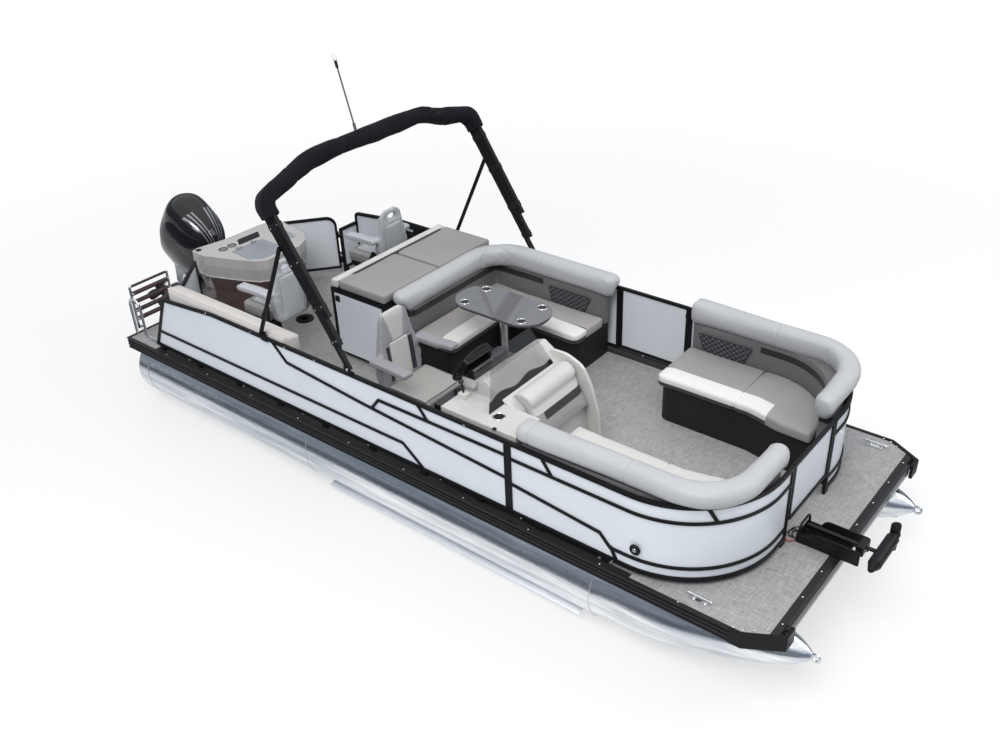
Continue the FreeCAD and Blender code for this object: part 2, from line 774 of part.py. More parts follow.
def deck_frame():
    z_top = -DECK_THICK
    z_low = z_top - BEAM_TALL
    beams = []
    half = BEAM_WIDE * HALF_SHARE
    wide = DECK_HALF - BEAM_SHORT
    x = BEAM_FIRST_X
    while x < DECK_LENGTH - BEAM_END_GAP:
        beam = box(x - half, x + half, -wide, wide, z_low, z_top)
        open_side = box(x - half, x + half - BEAM_WALL, -wide, wide, z_low + BEAM_WALL, z_top - BEAM_WALL)
        beams.append(beam.cut(open_side))
        x = x + BEAM_PITCH
    for y in (-TUBE_Y, TUBE_Y):
        riser = box(RISER_AFT_X, TUBE_FRONT_X - RISER_SHORT, y - RISER_WIDE * HALF_SHARE,
                    y + RISER_WIDE * HALF_SHARE, -RISER_LOW, z_low)
        tube = rod(vec(0, y, TUBE_Z), vec(TUBE_FRONT_X, y, TUBE_Z), TUBE_R + SEAT_GAP)
        beams.append(riser.cut(tube))
    return [union(beams)]


def deck():
    half = DECK_HALF
    outline = ((0, -half), (DECK_CORNER_X, -half), (DECK_LENGTH, -DECK_CORNER_Y),
               (DECK_LENGTH, DECK_CORNER_Y), (DECK_CORNER_X, half), (0, half))
    x, y = SPARE_SOCKET_AT
    hole = Part.makeCylinder(CUP_WALL_R + SEAT_GAP, DECK_THICK, vec(x, y, -DECK_THICK))
    return [plan(outline, -DECK_THICK, 0).cut(hole)]


def rub_rails():
    inner = DECK_HALF
    outer = DECK_HALF + RAIL_OUT
    shapes = [box(-RAIL_OUT, CASTING_AFT_X, -outer, -inner, -RAIL_DROP, RAIL_RISE)]
    for low, high in RAIL_RIBS_Z:
        cut = box(-RAIL_OUT, CASTING_AFT_X, -outer, -outer + RAIL_RIB_DEEP, low, high)
        shapes[0] = shapes[0].cut(cut)
    port = mirror(shapes[0])
    stern = box(-RAIL_OUT, 0, -inner, inner, -STERN_RAIL_DROP, RAIL_RISE)
    return [union([shapes[0], port, stern])]


def bow_channel():
    half = DECK_CORNER_Y - CASTING_FLANGE
    whole = box(DECK_LENGTH, DECK_LENGTH + CHANNEL_DEEP, -half, half, -CHANNEL_DROP, RAIL_RISE)
    wall = CHANNEL_WALL
    inside = box(DECK_LENGTH, DECK_LENGTH + CHANNEL_DEEP - wall, -half, half, -CHANNEL_DROP + wall, -DECK_THICK)
    return [whole.cut(inside)]


def corner_castings():
    out_y = DECK_HALF + RAIL_OUT
    tip_x = DECK_LENGTH + CASTING_NOSE
    wall = CASTING_WALL
    end_y = DECK_CORNER_Y - CASTING_FLANGE
    outline = ((CASTING_AFT_X, out_y), (DECK_CORNER_X + CASTING_BEND, out_y), (tip_x, DECK_CORNER_Y),
               (tip_x, end_y), (tip_x - wall, end_y), (tip_x - wall, DECK_CORNER_Y - CASTING_BEND * HALF_SHARE),
               (DECK_CORNER_X + CASTING_BEND * HALF_SHARE, DECK_HALF + CASTING_FIT),
               (CASTING_AFT_X, DECK_HALF + CASTING_FIT))
    one = plan(outline, -CASTING_DROP, RAIL_RISE)
    return [one, mirror(one)]


def motor_pod():
    low = -POD_BOTTOM_DROP
    high = -POD_TOP_DROP
    profile = ((POD_AFT_X, high + TRANSOM_TALL), (POD_AFT_X, low), (POD_NOSE_X, low), (POD_FRONT_X, high),
               (-RAIL_OUT - TRANSOM_THICK, high), (POD_AFT_X + TRANSOM_THICK, high),
               (POD_AFT_X + TRANSOM_THICK, high + TRANSOM_TALL))
    body = side(profile, -POD_HALF, POD_HALF)
    keep = ((-POD_HALF + POD_CHINE, low), (POD_HALF - POD_CHINE, low), (POD_HALF, low + POD_CHINE), (POD_HALF, high),
            (-POD_HALF, high), (-POD_HALF, low + POD_CHINE))
    return [body.common(front(keep, POD_AFT_X, POD_FRONT_X))]


def moved_rail(rail):
    return [(POST_X + dx, z) for dx, z in rail]


def side_make(points, near, far, radius):
    return side(points, -FENCE_Y + near, -FENCE_Y + far, radius)


def side_frame(outer, radius, rails):
    # fence on the straight side: outline tube and inner rails, starboard side
    frame, panel, hole = framed(outer, FENCE_TUBE, radius, side_make)
    bars = []
    for rail in rails:
        bar = side(stroke(moved_rail(rail), FENCE_RAIL), -FENCE_Y, -FENCE_Y + FENCE_HALF_DEEP).common(hole)
        bars.append(bar)
    return union([frame] + bars), panel


def bow_frame(x_aft):
    # fence round one bow corner, from the side post to the bow gate post
    t = FENCE_TUBE
    y_end = -GATE_POST_Y
    low = fence_band(0, FENCE_DEEP, FENCE_BOTTOM, FENCE_BOTTOM + t, x_aft, y_end)
    high = fence_band(0, FENCE_DEEP, FENCE_TOP - t, FENCE_TOP, x_aft, y_end)
    x1 = FENCE_FRONT_X
    post = box(x1 - FENCE_DEEP, x1, y_end - t, y_end, FENCE_BOTTOM, FENCE_TOP)
    aft = box(x_aft, x_aft + t, -FENCE_Y, -FENCE_Y + FENCE_DEEP, FENCE_BOTTOM, FENCE_TOP)
    bars = []
    x_turn = FENCE_FRONT_X - BOW_ARC_R
    half = FENCE_RAIL * HALF_SHARE
    for z in (CURVE_D_Z, CURVE_E_Z):
        bars.append(fence_band(0, FENCE_HALF_DEEP, z - half, z + half, x_turn, y_end - t))
    clip = box(x_aft + t, x_turn, -FENCE_Y, -FENCE_Y + FENCE_DEEP, FENCE_BOTTOM + t, FENCE_TOP - t)
    for rail in (RAIL_D, RAIL_E, LINK_D, LINK_E):
        bar = side(stroke(moved_rail(rail), FENCE_RAIL), -FENCE_Y, -FENCE_Y + FENCE_HALF_DEEP).common(clip)
        bars.append(bar)
    panel = fence_band(FENCE_HALF_DEEP, FENCE_HALF_DEEP + PANEL_THICK, FENCE_BOTTOM + t, FENCE_TOP - t,
                       x_aft + t, y_end - t)
    return union([low, high, post, aft] + bars), panel


def fence_feet(x_from, x_to):
    feet = []
    x = x_from
    while x < x_to:
        feet.append(box(x, x + FOOT_LONG, -FENCE_Y, -FENCE_Y + FENCE_DEEP, 0, FENCE_BOTTOM))
        x = x + FOOT_PITCH
    return feet


def flat_make(points, near, far, radius):
    return side(points, near, far, radius)


def diagonal_line(ends):
    # length and heading of a stern diagonal, drawn from its outer end inwards
    dx = ends[0][0] - ends[1][0]
    dy = ends[0][1] - ends[1][1]
    return math.hypot(dx, dy), math.degrees(math.atan2(dy, dx))


def starboard_diagonal():
    # fixed fence from the stern console to the starboard side
    length, heading = diagonal_line(STBD_DIAGONAL)
    outer = ((0, FENCE_BOTTOM), (length, FENCE_BOTTOM), (length, DIAGONAL_TOP), (0, DIAGONAL_TOP))
    frame, panel, hole = framed(outer, FENCE_TUBE, (0, 0, 0, 0), flat_make)
    foot = box(length - FOOT_LONG, length, 0, FENCE_DEEP, 0, FENCE_BOTTOM)
    frame = mirror(union([frame, foot]))
    x, y = STBD_DIAGONAL[1]
    side_cut = box(0, DECK_LENGTH, -DECK_HALF, -FENCE_Y + FENCE_DEEP, 0, FENCE_TOP)
    under_pad = box(0, DECK_LENGTH, -DECK_HALF, COVER_WIDE - FENCE_Y + FENCE_DEEP + SINK, COVER_Z - SEAT_GAP,
                    COVER_TOP)
    keep = [turned(frame, heading, x, y), turned(mirror(panel), heading, x, y)]
    return [piece.cut([side_cut, under_pad]) for piece in keep]


def stern_wing():
    # short low fence across the stern, between the port side and the stern gate
    t = FENCE_TUBE
    x, y = PORT_DIAGONAL[1]
    x0 = x - WING_BACK
    y0 = y + WING_NEAR
    y1 = FENCE_Y - FENCE_DEEP
    outer = ((y0, FENCE_BOTTOM), (y1, FENCE_BOTTOM), (y1, WING_TOP), (y0, WING_TOP))
    inner = ((y0 + t, FENCE_BOTTOM + t), (y1, FENCE_BOTTOM + t), (y1, WING_TOP - t), (y0 + t, WING_TOP - t))
    frame = front(outer, x0, x0 + FENCE_DEEP).cut(front(inner, x0, x0 + FENCE_DEEP))
    panel = front(inner, x0 + FENCE_HALF_DEEP, x0 + FENCE_HALF_DEEP + PANEL_THICK)
    foot = box(x0, x0 + FENCE_DEEP, y0, y0 + FOOT_LONG, 0, FENCE_BOTTOM)
    return union([frame, foot]), panel


def fences():
    low = FENCE_BOTTOM
    r = FENCE_CORNER_R
    stbd_line = ((STBD_AFT_X, low), (POST_X, low), (POST_X, FENCE_TOP), (AFT_LEVEL_X, FENCE_TOP),
                 (AFT_TOP_X, AFT_TOP_Z))
    stbd, stbd_panel = side_frame(stbd_line, (0, 0, 0, 0, r), (RAIL_A, RAIL_B, RAIL_C, LINK_C))
    port_line = ((PORT_AFT_X, low), (PORT_GATE_AFT_X, low), (PORT_GATE_AFT_X, FENCE_TOP), (AFT_LEVEL_X, FENCE_TOP),
                 (PORT_AFT_X, AFT_TOP_Z))
    port, port_panel = side_frame(port_line, (0, 0, 0, 0, r), (RAIL_A, RAIL_B, RAIL_C, LINK_C))
    bow, bow_panel = bow_frame(POST_X)
    port_bow, port_bow_panel = bow_frame(PORT_GATE_FORE_X)
    x_turn = FENCE_FRONT_X - BOW_ARC_R
    x_end = FENCE_FRONT_X
    end_foot = box(x_end - FENCE_DEEP, x_end, -GATE_POST_Y - FOOT_LONG, -GATE_POST_Y, 0, FENCE_BOTTOM)
    diagonal, diagonal_panel = starboard_diagonal()
    wing, wing_panel = stern_wing()
    port_hinges, bow_hinges, stern_hinges = gate_hinges()
    first = union([stbd, bow, end_foot, diagonal] + fence_feet(STBD_AFT_X + FOOT_LONG, x_turn) + bow_hinges[0])
    second = mirror(union([port] + fence_feet(PORT_AFT_X, PORT_GATE_AFT_X - FOOT_LONG)))
    second = union([second, wing] + stern_hinges[0])
    third = mirror(union([port_bow, end_foot] + fence_feet(PORT_GATE_FORE_X, x_turn)))
    third = union([third] + port_hinges[0])
    frames = [first, second, third]
    panels = [stbd_panel, bow_panel, diagonal_panel, mirror(port_panel), mirror(port_bow_panel), wing_panel]
    return frames, panels


def gate(width, low, high, radius=(0, 0, 0, 0)):
    # gate drawn with its hinge edge at X = 0 and its outer face on Y = 0
    outer = ((0, low), (width, low), (width, high), (0, high))
    frame, panel, hole = framed(outer, GATE_TUBE, radius, flat_make)
    return frame, panel


def hinge_set(px, py, turn, flip, heights):
    # butt hinges about the vertical line through px, py: fixed leaves and moving leaves
    fixed = []
    moving = []
    t = HINGE_TALL * HALF_SHARE
    for z in heights:
        pin = Part.makeCylinder(HINGE_PIN_R, HINGE_TALL, vec(0, 0, z))
        low = Part.makeCylinder(HINGE_R, t, vec(0, 0, z))
        arm = box(0, HINGE_REACH, -HINGE_HALF, HINGE_HALF, z, z + t)
        leaf = box(HINGE_NEAR, HINGE_REACH, -HINGE_HALF, HINGE_OFF, z, z + t)
        fixed.append(union([pin, low, arm, leaf]))
        high = Part.makeCylinder(HINGE_R, t - SEAT_GAP, vec(0, 0, z + t + SEAT_GAP))
        arm = box(-HINGE_REACH, 0, -HINGE_HALF, HINGE_HALF, z + t + SEAT_GAP, z + HINGE_TALL)
        leaf = box(-HINGE_REACH, -HINGE_NEAR, -HINGE_HALF, HINGE_OFF, z + t + SEAT_GAP, z + HINGE_TALL)
        bore = Part.makeCylinder(HINGE_PIN_R + SEAT_GAP, HINGE_TALL, vec(0, 0, z))
        moving.append(union([high, arm, leaf]).cut(bore))
    made = []
    for group in (fixed, moving):
        made.append([turned(mirror(shape) if flip else shape, turn, px, py) for shape in group])
    return made


def stern_hinge_at():
    # pin of the stern gate, just outside the outer face at the gate's outer end
    length, heading = diagonal_line(PORT_DIAGONAL)
    a = math.radians(heading + RIGHT_DEG)
    x, y = PORT_DIAGONAL[1]
    return x - HINGE_OFF * math.cos(a), y - HINGE_OFF * math.sin(a), heading


def gate_hinges():
    # hinge places of the port, bow and stern gates
    gap = GATE_GAP * HALF_SHARE
    inside = FENCE_DEEP + HINGE_OFF
    port = hinge_set(PORT_GATE_FORE_X - gap, FENCE_Y - inside, 0, False, HINGE_HEIGHTS)
    bow = hinge_set(FENCE_FRONT_X - inside, -GATE_POST_Y + gap, -RIGHT_DEG, False, BOW_HINGE_HEIGHTS)
    x, y, heading = stern_hinge_at()
    stern = hinge_set(x, y, heading + HALF_TURN_DEG, True, STERN_HINGE_HEIGHTS)
    return port, bow, stern


def port_gate():
    width = PORT_GATE_FORE_X - PORT_GATE_AFT_X - GATE_GAP - GATE_GAP
    frame, panel = gate(width, GATE_BOTTOM, FENCE_TOP)
    for piece in (frame, panel):
        turned(piece, HALF_TURN_DEG, PORT_GATE_FORE_X - GATE_GAP, FENCE_Y)
    return union([frame] + gate_hinges()[0][1]), panel


def bow_gate():
    width = GATE_POST_Y + GATE_POST_Y - GATE_GAP - GATE_GAP
    r = GATE_CORNER_R
    frame, panel = gate(width, BOW_GATE_BOTTOM, FENCE_TOP, (r, r, 0, 0))
    for piece in (frame, panel):
        turned(piece, RIGHT_DEG, FENCE_FRONT_X, -GATE_POST_Y + GATE_GAP)
    return union([frame] + gate_hinges()[1][1]), panel


def stern_gate():
    length, heading = diagonal_line(PORT_DIAGONAL)
    a = math.radians(heading)
    near = GATE_GAP * HALF_SHARE
    frame, panel = gate(length - near, GATE_BOTTOM, DIAGONAL_TOP, (0, 0, 0, DIAGONAL_CORNER_R))
    x, y = PORT_DIAGONAL[1]
    for piece in (frame, panel):
        turned(piece, heading, x + near * math.cos(a), y + near * math.sin(a))
    return union([frame] + gate_hinges()[2][1]), panel


def cabinet():
    w = CAB_WALL
    kick = CAB_KICK
    outer = box(CAB_AFT_X, CAB_FORE_X, CAB_STBD_Y, CAB_PORT_Y, kick, CAB_TOP)
    plinth = box(CAB_AFT_X + kick, CAB_FORE_X, CAB_STBD_Y + kick, CAB_PORT_Y, 0, kick)
    inner = box(CAB_AFT_X + w, CAB_FORE_X - w, CAB_STBD_Y + w, CAB_PORT_Y - w, kick + w, CAB_TOP - w)
    mouth = box(CAB_AFT_X + CAB_DOOR_INSET, CAB_FORE_X - CAB_DOOR_INSET, CAB_STBD_Y - w, CAB_STBD_Y + w,
                CAB_DOOR_BOTTOM, CAB_TOP - CAB_DOOR_INSET)
    shell = outer.cut(inner).cut(mouth)
    recess = box(CAB_AFT_X, CAB_AFT_X + HINGE_OFF, CAB_STBD_Y + CAB_BAND, CAB_PORT_Y - CAB_BAND,
                 CAB_TOP - CAB_BAND - CAB_BAND, CAB_TOP - CAB_BAND)
    return [union([shell.cut(recess), plinth] + door_hinges()[0])]


def door_hinges():
    px = CAB_FORE_X - CAB_DOOR_INSET - CAB_DOOR_GAP * HALF_SHARE
    return hinge_set(px, CAB_STBD_Y - HINGE_OFF, 0, False, HINGE_HEIGHTS)


def cabinet_door():
    gap = CAB_DOOR_GAP
    slab = box(CAB_AFT_X + CAB_DOOR_INSET + gap, CAB_FORE_X - CAB_DOOR_INSET - gap,
               CAB_STBD_Y, CAB_STBD_Y + CAB_WALL, CAB_DOOR_BOTTOM + gap, CAB_TOP - CAB_DOOR_INSET - gap)
    return [union([slab] + door_hinges()[1])]


def cabinet_pads():
    z0 = CAB_TOP + SEAT_GAP
    band = box(CAB_AFT_X, CAB_AFT_X + CAB_BAND, CAB_STBD_Y, CAB_PORT_Y, z0, z0 + CAB_PAD_THICK)
    x0 = CAB_AFT_X + CAB_BAND + SEAT_GAP
    middle = (CAB_STBD_Y + CAB_PORT_Y) * HALF_SHARE
    near = box(x0, CAB_FORE_X, CAB_STBD_Y, middle - SEAT_GAP, z0, z0 + CAB_PAD_THICK)
    far = box(x0, CAB_FORE_X, middle, CAB_PORT_Y, z0, z0 + CAB_PAD_THICK)
    return [band, near, far]


def lounge_plan(inset):
    # footprint of the L-shaped lounge, drawn in by an inset on its open fronts
    x0 = LOUNGE_AFT_X
    x1 = LOUNGE_FORE_X - inset
    y1 = LOUNGE_OUT_Y
    return ((x0, LOUNGE_STBD_Y + inset), (LOUNGE_FRONT_X - inset, LOUNGE_STBD_Y + inset),
            (LOUNGE_FRONT_X - inset, LOUNGE_IN_Y + inset), (x1, LOUNGE_IN_Y + inset), (x1, y1), (x0, y1))


def bow_plan(inset, x_aft):
    # footprint of a bow lounge on the starboard side
    out_y = -(FENCE_Y - FENCE_DEEP - SEAT_ROUND)
    centre_x = FENCE_FRONT_X - BOW_ARC_R
    centre_y = -FENCE_Y + BOW_ARC_R
    r = BOW_ARC_R - FENCE_DEEP - SEAT_ROUND
    points = [(x_aft + inset, -BOW_IN_Y - inset), (x_aft + inset, out_y)]
    for i in range(BOW_STEPS + 1):
        turn = math.pi * HALF_SHARE * i / BOW_STEPS
        points.append((centre_x + r * math.sin(turn), centre_y - r * math.cos(turn)))
    points.append((centre_x + r, -BOW_END_Y - inset))
    points.append((BOW_END_X - BOW_CUT_RUN, -BOW_END_Y - inset))
    points.append((BOW_CUT_X, -BOW_IN_Y - inset))
    return points


def bow_corners(first, radius):
    # rounding of the bow lounge footprint: its aft inner corner and its chamfer
    return (first, 0) + (0,) * (BOW_STEPS + 1) + (0, radius, radius)


def lounge_bases():
    z = SEAT_TOP - SEAT_THICK
    r = BASE_ROUND
    port = plan(lounge_plan(BASE_INSET), 0, z, (r, r, r, r, 0, 0))
    corners = bow_corners(r, r)
    bow_port = mirror(plan(bow_plan(BASE_INSET, BOW_PORT_AFT_X), 0, z, corners))
    bow_stbd = plan(bow_plan(BASE_INSET, BOW_STBD_AFT_X), 0, z, bow_corners(0, r))
    return [port, bow_port, bow_stbd]


def lounge_seats():
    z0 = SEAT_TOP - SEAT_THICK + SEAT_GAP
    deep = LOUNGE_BACK_DEEP
    r = SEAT_CORNER_R
    x0 = LOUNGE_AFT_X + deep
    y1 = LOUNGE_OUT_Y - deep
    outline = ((x0, LOUNGE_STBD_Y), (LOUNGE_FRONT_X, LOUNGE_STBD_Y), (LOUNGE_FRONT_X, LOUNGE_IN_Y),
               (LOUNGE_FORE_X, LOUNGE_IN_Y), (LOUNGE_FORE_X, y1), (x0, y1))
    seats = [plan(outline, z0, SEAT_TOP, (0, r, r, r, 0, 0))]
    for x_aft, flip in ((BOW_PORT_AFT_X, True), (BOW_STBD_AFT_X, False)):
        whole = plan(bow_plan(0, x_aft), z0, SEAT_TOP, bow_corners(r if flip else 0, r))
        seat = whole.cut(bow_back_band(z0, SEAT_TOP, x_aft))
        seats.append(mirror(seat) if flip else seat)
    return seats


def bow_back_band(z0, z1, x_aft):
    near = FENCE_DEEP
    return fence_band(near, near + SEAT_ROUND + BOW_BACK_DEEP, z0, z1, x_aft - SEAT_ROUND, -GATE_POST_Y)


def lounge_backs():
    z0 = SEAT_TOP - SEAT_THICK + SEAT_GAP
    z1 = BACK_TOP
    deep = LOUNGE_BACK_DEEP
    gap = SEAT_GAP
    outline = ((LOUNGE_AFT_X, LOUNGE_STBD_Y), (LOUNGE_AFT_X + deep - gap, LOUNGE_STBD_Y),
               (LOUNGE_AFT_X + deep - gap, LOUNGE_OUT_Y - deep + gap), (LOUNGE_FORE_X, LOUNGE_OUT_Y - deep + gap),
               (LOUNGE_FORE_X, LOUNGE_OUT_Y), (LOUNGE_AFT_X, LOUNGE_OUT_Y))
    backs = [plan(outline, z0, z1)]
    for x_aft, flip in ((BOW_PORT_AFT_X, True), (BOW_STBD_AFT_X, False)):
        near = FENCE_DEEP + SEAT_ROUND
        band = fence_band(near, near + BOW_BACK_DEEP - gap, z0, z1, x_aft, -BOW_END_Y)
        backs.append(mirror(band) if flip else band)
    return backs


def lounge_bolsters():
    z = BOLSTER_Z
    r = BOLSTER_R - SEAT_GAP
    deep = LOUNGE_BACK_DEEP * HALF_SHARE
    x0 = LOUNGE_AFT_X + deep
    y1 = LOUNGE_OUT_Y - deep
    aft = pipe(((x0, LOUNGE_STBD_Y, z), (x0, y1, z), (LOUNGE_FORE_X, y1, z)), r, BOLSTER_BEND)
    bolsters = [union([aft, ball(vec(x0, LOUNGE_STBD_Y, z), r), ball(vec(LOUNGE_FORE_X, y1, z), r)])]
    for x_aft, flip in ((BOW_PORT_AFT_X, True), (BOW_STBD_AFT_X, False)):
        depth = FENCE_DEEP + SEAT_ROUND + BOW_BACK_DEEP * HALF_SHARE
        y = -FENCE_Y + depth
        x = FENCE_FRONT_X - depth
        bar = pipe(((x_aft, y, z), (x, y, z), (x, -BOW_END_Y, z)), r, BOW_ARC_R - depth)
        bar = union([bar, ball(vec(x, -BOW_END_Y, z), r)])
        bolsters.append(mirror(bar) if flip else bar)
    return bolsters


def table_outline(grow):
    x = TABLE_HALF_LONG + grow
    y = TABLE_HALF_WIDE + grow
    cx = TABLE_CUT_LONG
    cy = TABLE_CUT_WIDE
    points = ((-x, -y + cy), (-x + cx, -y), (x - cx, -y), (x, -y + cy), (x, y - cy), (x - cx, y), (-x + cx, y),
              (-x, y - cy))
    return [(TABLE_X + px, TABLE_Y + py) for px, py in points]


def table_top():
    z0 = TABLE_TOP_Z - TABLE_THICK
    middle = TABLE_TOP_Z - TABLE_THICK * HALF_SHARE
    top = union([plan(table_outline(0), middle, TABLE_TOP_Z, TABLE_ROUND),
                 plan(table_outline(-TABLE_EDGE), z0, middle, TABLE_ROUND)])
    for dx in (-CUP_LONG, CUP_LONG):
        for dy in (-CUP_WIDE, CUP_WIDE):
            low = vec(TABLE_X + dx, TABLE_Y + dy, TABLE_TOP_Z - CUP_DEEP)
            top = top.cut(Part.makeCylinder(CUP_R, CUP_DEEP, low))
    return [top]


def table_leg():
    z1 = TABLE_TOP_Z - TABLE_THICK
    foot = Part.makeCone(TABLE_FOOT_R, TABLE_LEG_R, TABLE_FOOT_TALL + TABLE_FOOT_TALL, vec(TABLE_X, TABLE_Y, 0))
    post = Part.makeCylinder(TABLE_LEG_R, z1, vec(TABLE_X, TABLE_Y, 0))
    head = Part.makeCone(TABLE_LEG_R, TABLE_FOOT_R, TABLE_HEAD_TALL, vec(TABLE_X, TABLE_Y, z1 - TABLE_HEAD_TALL))
    return [union([foot, post, head])]


def helm_profile():
    return [(HELM_AFT_X + dx, z) for dx, z in HELM_PROFILE]


def wheel_place():
    # middle of the steering wheel and the way its column points
    a = math.radians(WHEEL_RAKE_DEG)
    centre = vec(HELM_AFT_X - WHEEL_BEHIND, HELM_CHAIR_AT[1], WHEEL_Z)
    return centre, vec(math.cos(a), 0, -math.sin(a))


def helm_console():
    body = side(helm_profile(), HELM_DECK_Y, HELM_PORT_Y, HELM_ROUND)
    knee = box(HELM_AFT_X - HELM_ROUND, HELM_AFT_X + HELM_KNEE_AFT, HELM_DECK_Y + HELM_KNEE_WALL,
               HELM_PORT_Y - HELM_KNEE_WALL, HELM_KNEE_WALL, HELM_KNEE_HIGH)
    shelf = box(HELM_AFT_X, HELM_FORE_X + HELM_SHELF_AHEAD, HELM_STBD_Y, HELM_DECK_Y,
                HELM_SIDE_Z - HELM_SHELF_THICK, HELM_SIDE_Z)
    stand = box(HELM_AFT_X + HELM_KNEE_WALL, HELM_FORE_X, HELM_STBD_Y + HELM_KNEE_WALL, HELM_DECK_Y, 0, HELM_SIDE_Z)
    x0 = HELM_AFT_X + BINNACLE_AHEAD
    y = HELM_CHAIR_AT[1]
    hood = side(((x0, BINNACLE_LOW), (x0 + BINNACLE_LONG, BINNACLE_LOW), (x0 + BINNACLE_LONG, BINNACLE_HIGH),
                 (x0 + HELM_ROUND, BINNACLE_HIGH - HELM_ROUND)), y - BINNACLE_HALF, y + BINNACLE_HALF, HELM_ROUND)
    centre, along = wheel_place()
    start = centre.add(FreeCAD.Vector(along).multiply(WHEEL_HUB_DEEP * HALF_SHARE + SEAT_GAP))
    column = rod(start, start.add(FreeCAD.Vector(along).multiply(COLUMN_LONG)), COLUMN_R)
    return [union([body.cut(knee), shelf, stand, hood, column])]


def console_pads():
    # rolled backrest on the forward face, a half round on a flat back
    x = HELM_AFT_X + HELM_ROLL_AHEAD
    y0 = HELM_PAD_Y - HELM_PAD_HALF
    y1 = HELM_PAD_Y + HELM_PAD_HALF
    roll = rod(vec(x, y0, HELM_ROLL_Z), vec(x, y1, HELM_ROLL_Z), HELM_ROLL_R)
    keep = side([(px + SEAT_GAP, pz + SEAT_GAP) for px, pz in helm_profile()], y0, y1, HELM_ROUND)
    pad = roll.cut(keep)
    low = side(((x, HELM_ROLL_Z), (x + HELM_ROLL_R - HELM_PAD_LAP, HELM_ROLL_Z),
                (x + HELM_PAD_RUN, SEAT_TOP + SEAT_GAP), (x, SEAT_TOP + SEAT_GAP)), y0, y1)
    return [union([pad, low.cut(keep)])]


def windscreen():
    foot_x = HELM_AFT_X + SCREEN_FOOT_AHEAD
    head_x = HELM_AFT_X + SCREEN_HEAD_AHEAD
    foot_z = HELM_SIDE_Z + SEAT_GAP
    lean = math.atan2(foot_x - head_x, SCREEN_HEAD_Z - foot_z)
    long = math.hypot(foot_x - head_x, SCREEN_HEAD_Z - foot_z)
    outline = ((SCREEN_OUT_Y, 0), (SCREEN_IN_Y, 0), (SCREEN_IN_Y - SCREEN_TAPER, long),
               (SCREEN_OUT_Y + SCREEN_NARROW, long))
    r = SCREEN_CORNER_R
    sheet = front(outline, 0, SCREEN_THICK, (0, 0, r, r))
    sheet.rotate(vec(0, 0, 0), vec(0, 1, 0), -math.degrees(lean))
    sheet.translate(vec(foot_x, 0, foot_z))
    return [sheet.cut(helm_console()[0])]


def steering_wheel():
    centre, along = wheel_place()
    rim = Part.makeTorus(WHEEL_R, WHEEL_GRIP, centre, along)
    across = vec(0, 1, 0)
    up = along.cross(across)
    low = centre.sub(FreeCAD.Vector(along).multiply(WHEEL_HUB_DEEP * HALF_SHARE))
    hub = Part.makeCylinder(WHEEL_HUB_R, WHEEL_HUB_DEEP, low, along)
    spokes = []
    for turn in WHEEL_SPOKE_DEG:
        a = math.radians(turn)
        reach = FreeCAD.Vector(across).multiply(math.cos(a)).add(FreeCAD.Vector(up).multiply(math.sin(a)))
        spokes.append(rod(centre, centre.add(reach.multiply(WHEEL_R)), WHEEL_SPOKE_R))
    return [union([rim, hub] + spokes)]


def throttle_lever():
    x = HELM_AFT_X + LEVER_AHEAD
    z = HELM_SIDE_Z + SEAT_GAP
    long, wide, tall = LEVER_BOX
    half = long * HALF_SHARE
    house = box(x - half, x + half, LEVER_Y - wide, LEVER_Y + wide, z, z + tall)
    top = vec(x - LEVER_KNOB_R, LEVER_Y, z + LEVER_LONG)
    return [union([house, rod(vec(x, LEVER_Y, z + tall * HALF_SHARE), top, LEVER_R), ball(top, LEVER_KNOB_R)])]


def chair_pedestals():
    posts = []
    for (x, y), rise in ((HELM_CHAIR_AT, 0), (FISH_PORT_AT, FISH_RISE), (FISH_STBD_AT, FISH_RISE)):
        foot = Part.makeCylinder(SOCKET_R, SOCKET_TALL, vec(x, y, 0))
        cone = Part.makeCone(POST_BASE_R, POST_R, POST_BASE_TALL, vec(x, y, SOCKET_TALL))
        post = Part.makeCylinder(POST_R, CHAIR_POST_TALL + rise, vec(x, y, 0))
        posts.append(union([foot, cone, post]))
    x, y = SPARE_SOCKET_AT
    flange = Part.makeCylinder(SOCKET_R, SOCKET_TALL, vec(x, y, 0))
    cup = Part.makeCylinder(CUP_WALL_R, SOCKET_TALL + CUP_TALL, vec(x, y, -CUP_TALL))
    bore = Part.makeCylinder(CUP_BORE_R, SOCKET_TALL + CUP_TALL, vec(x, y, -CUP_TALL + CUP_FLOOR))
    posts.append(union([flange, cup]).cut(bore))
    return posts


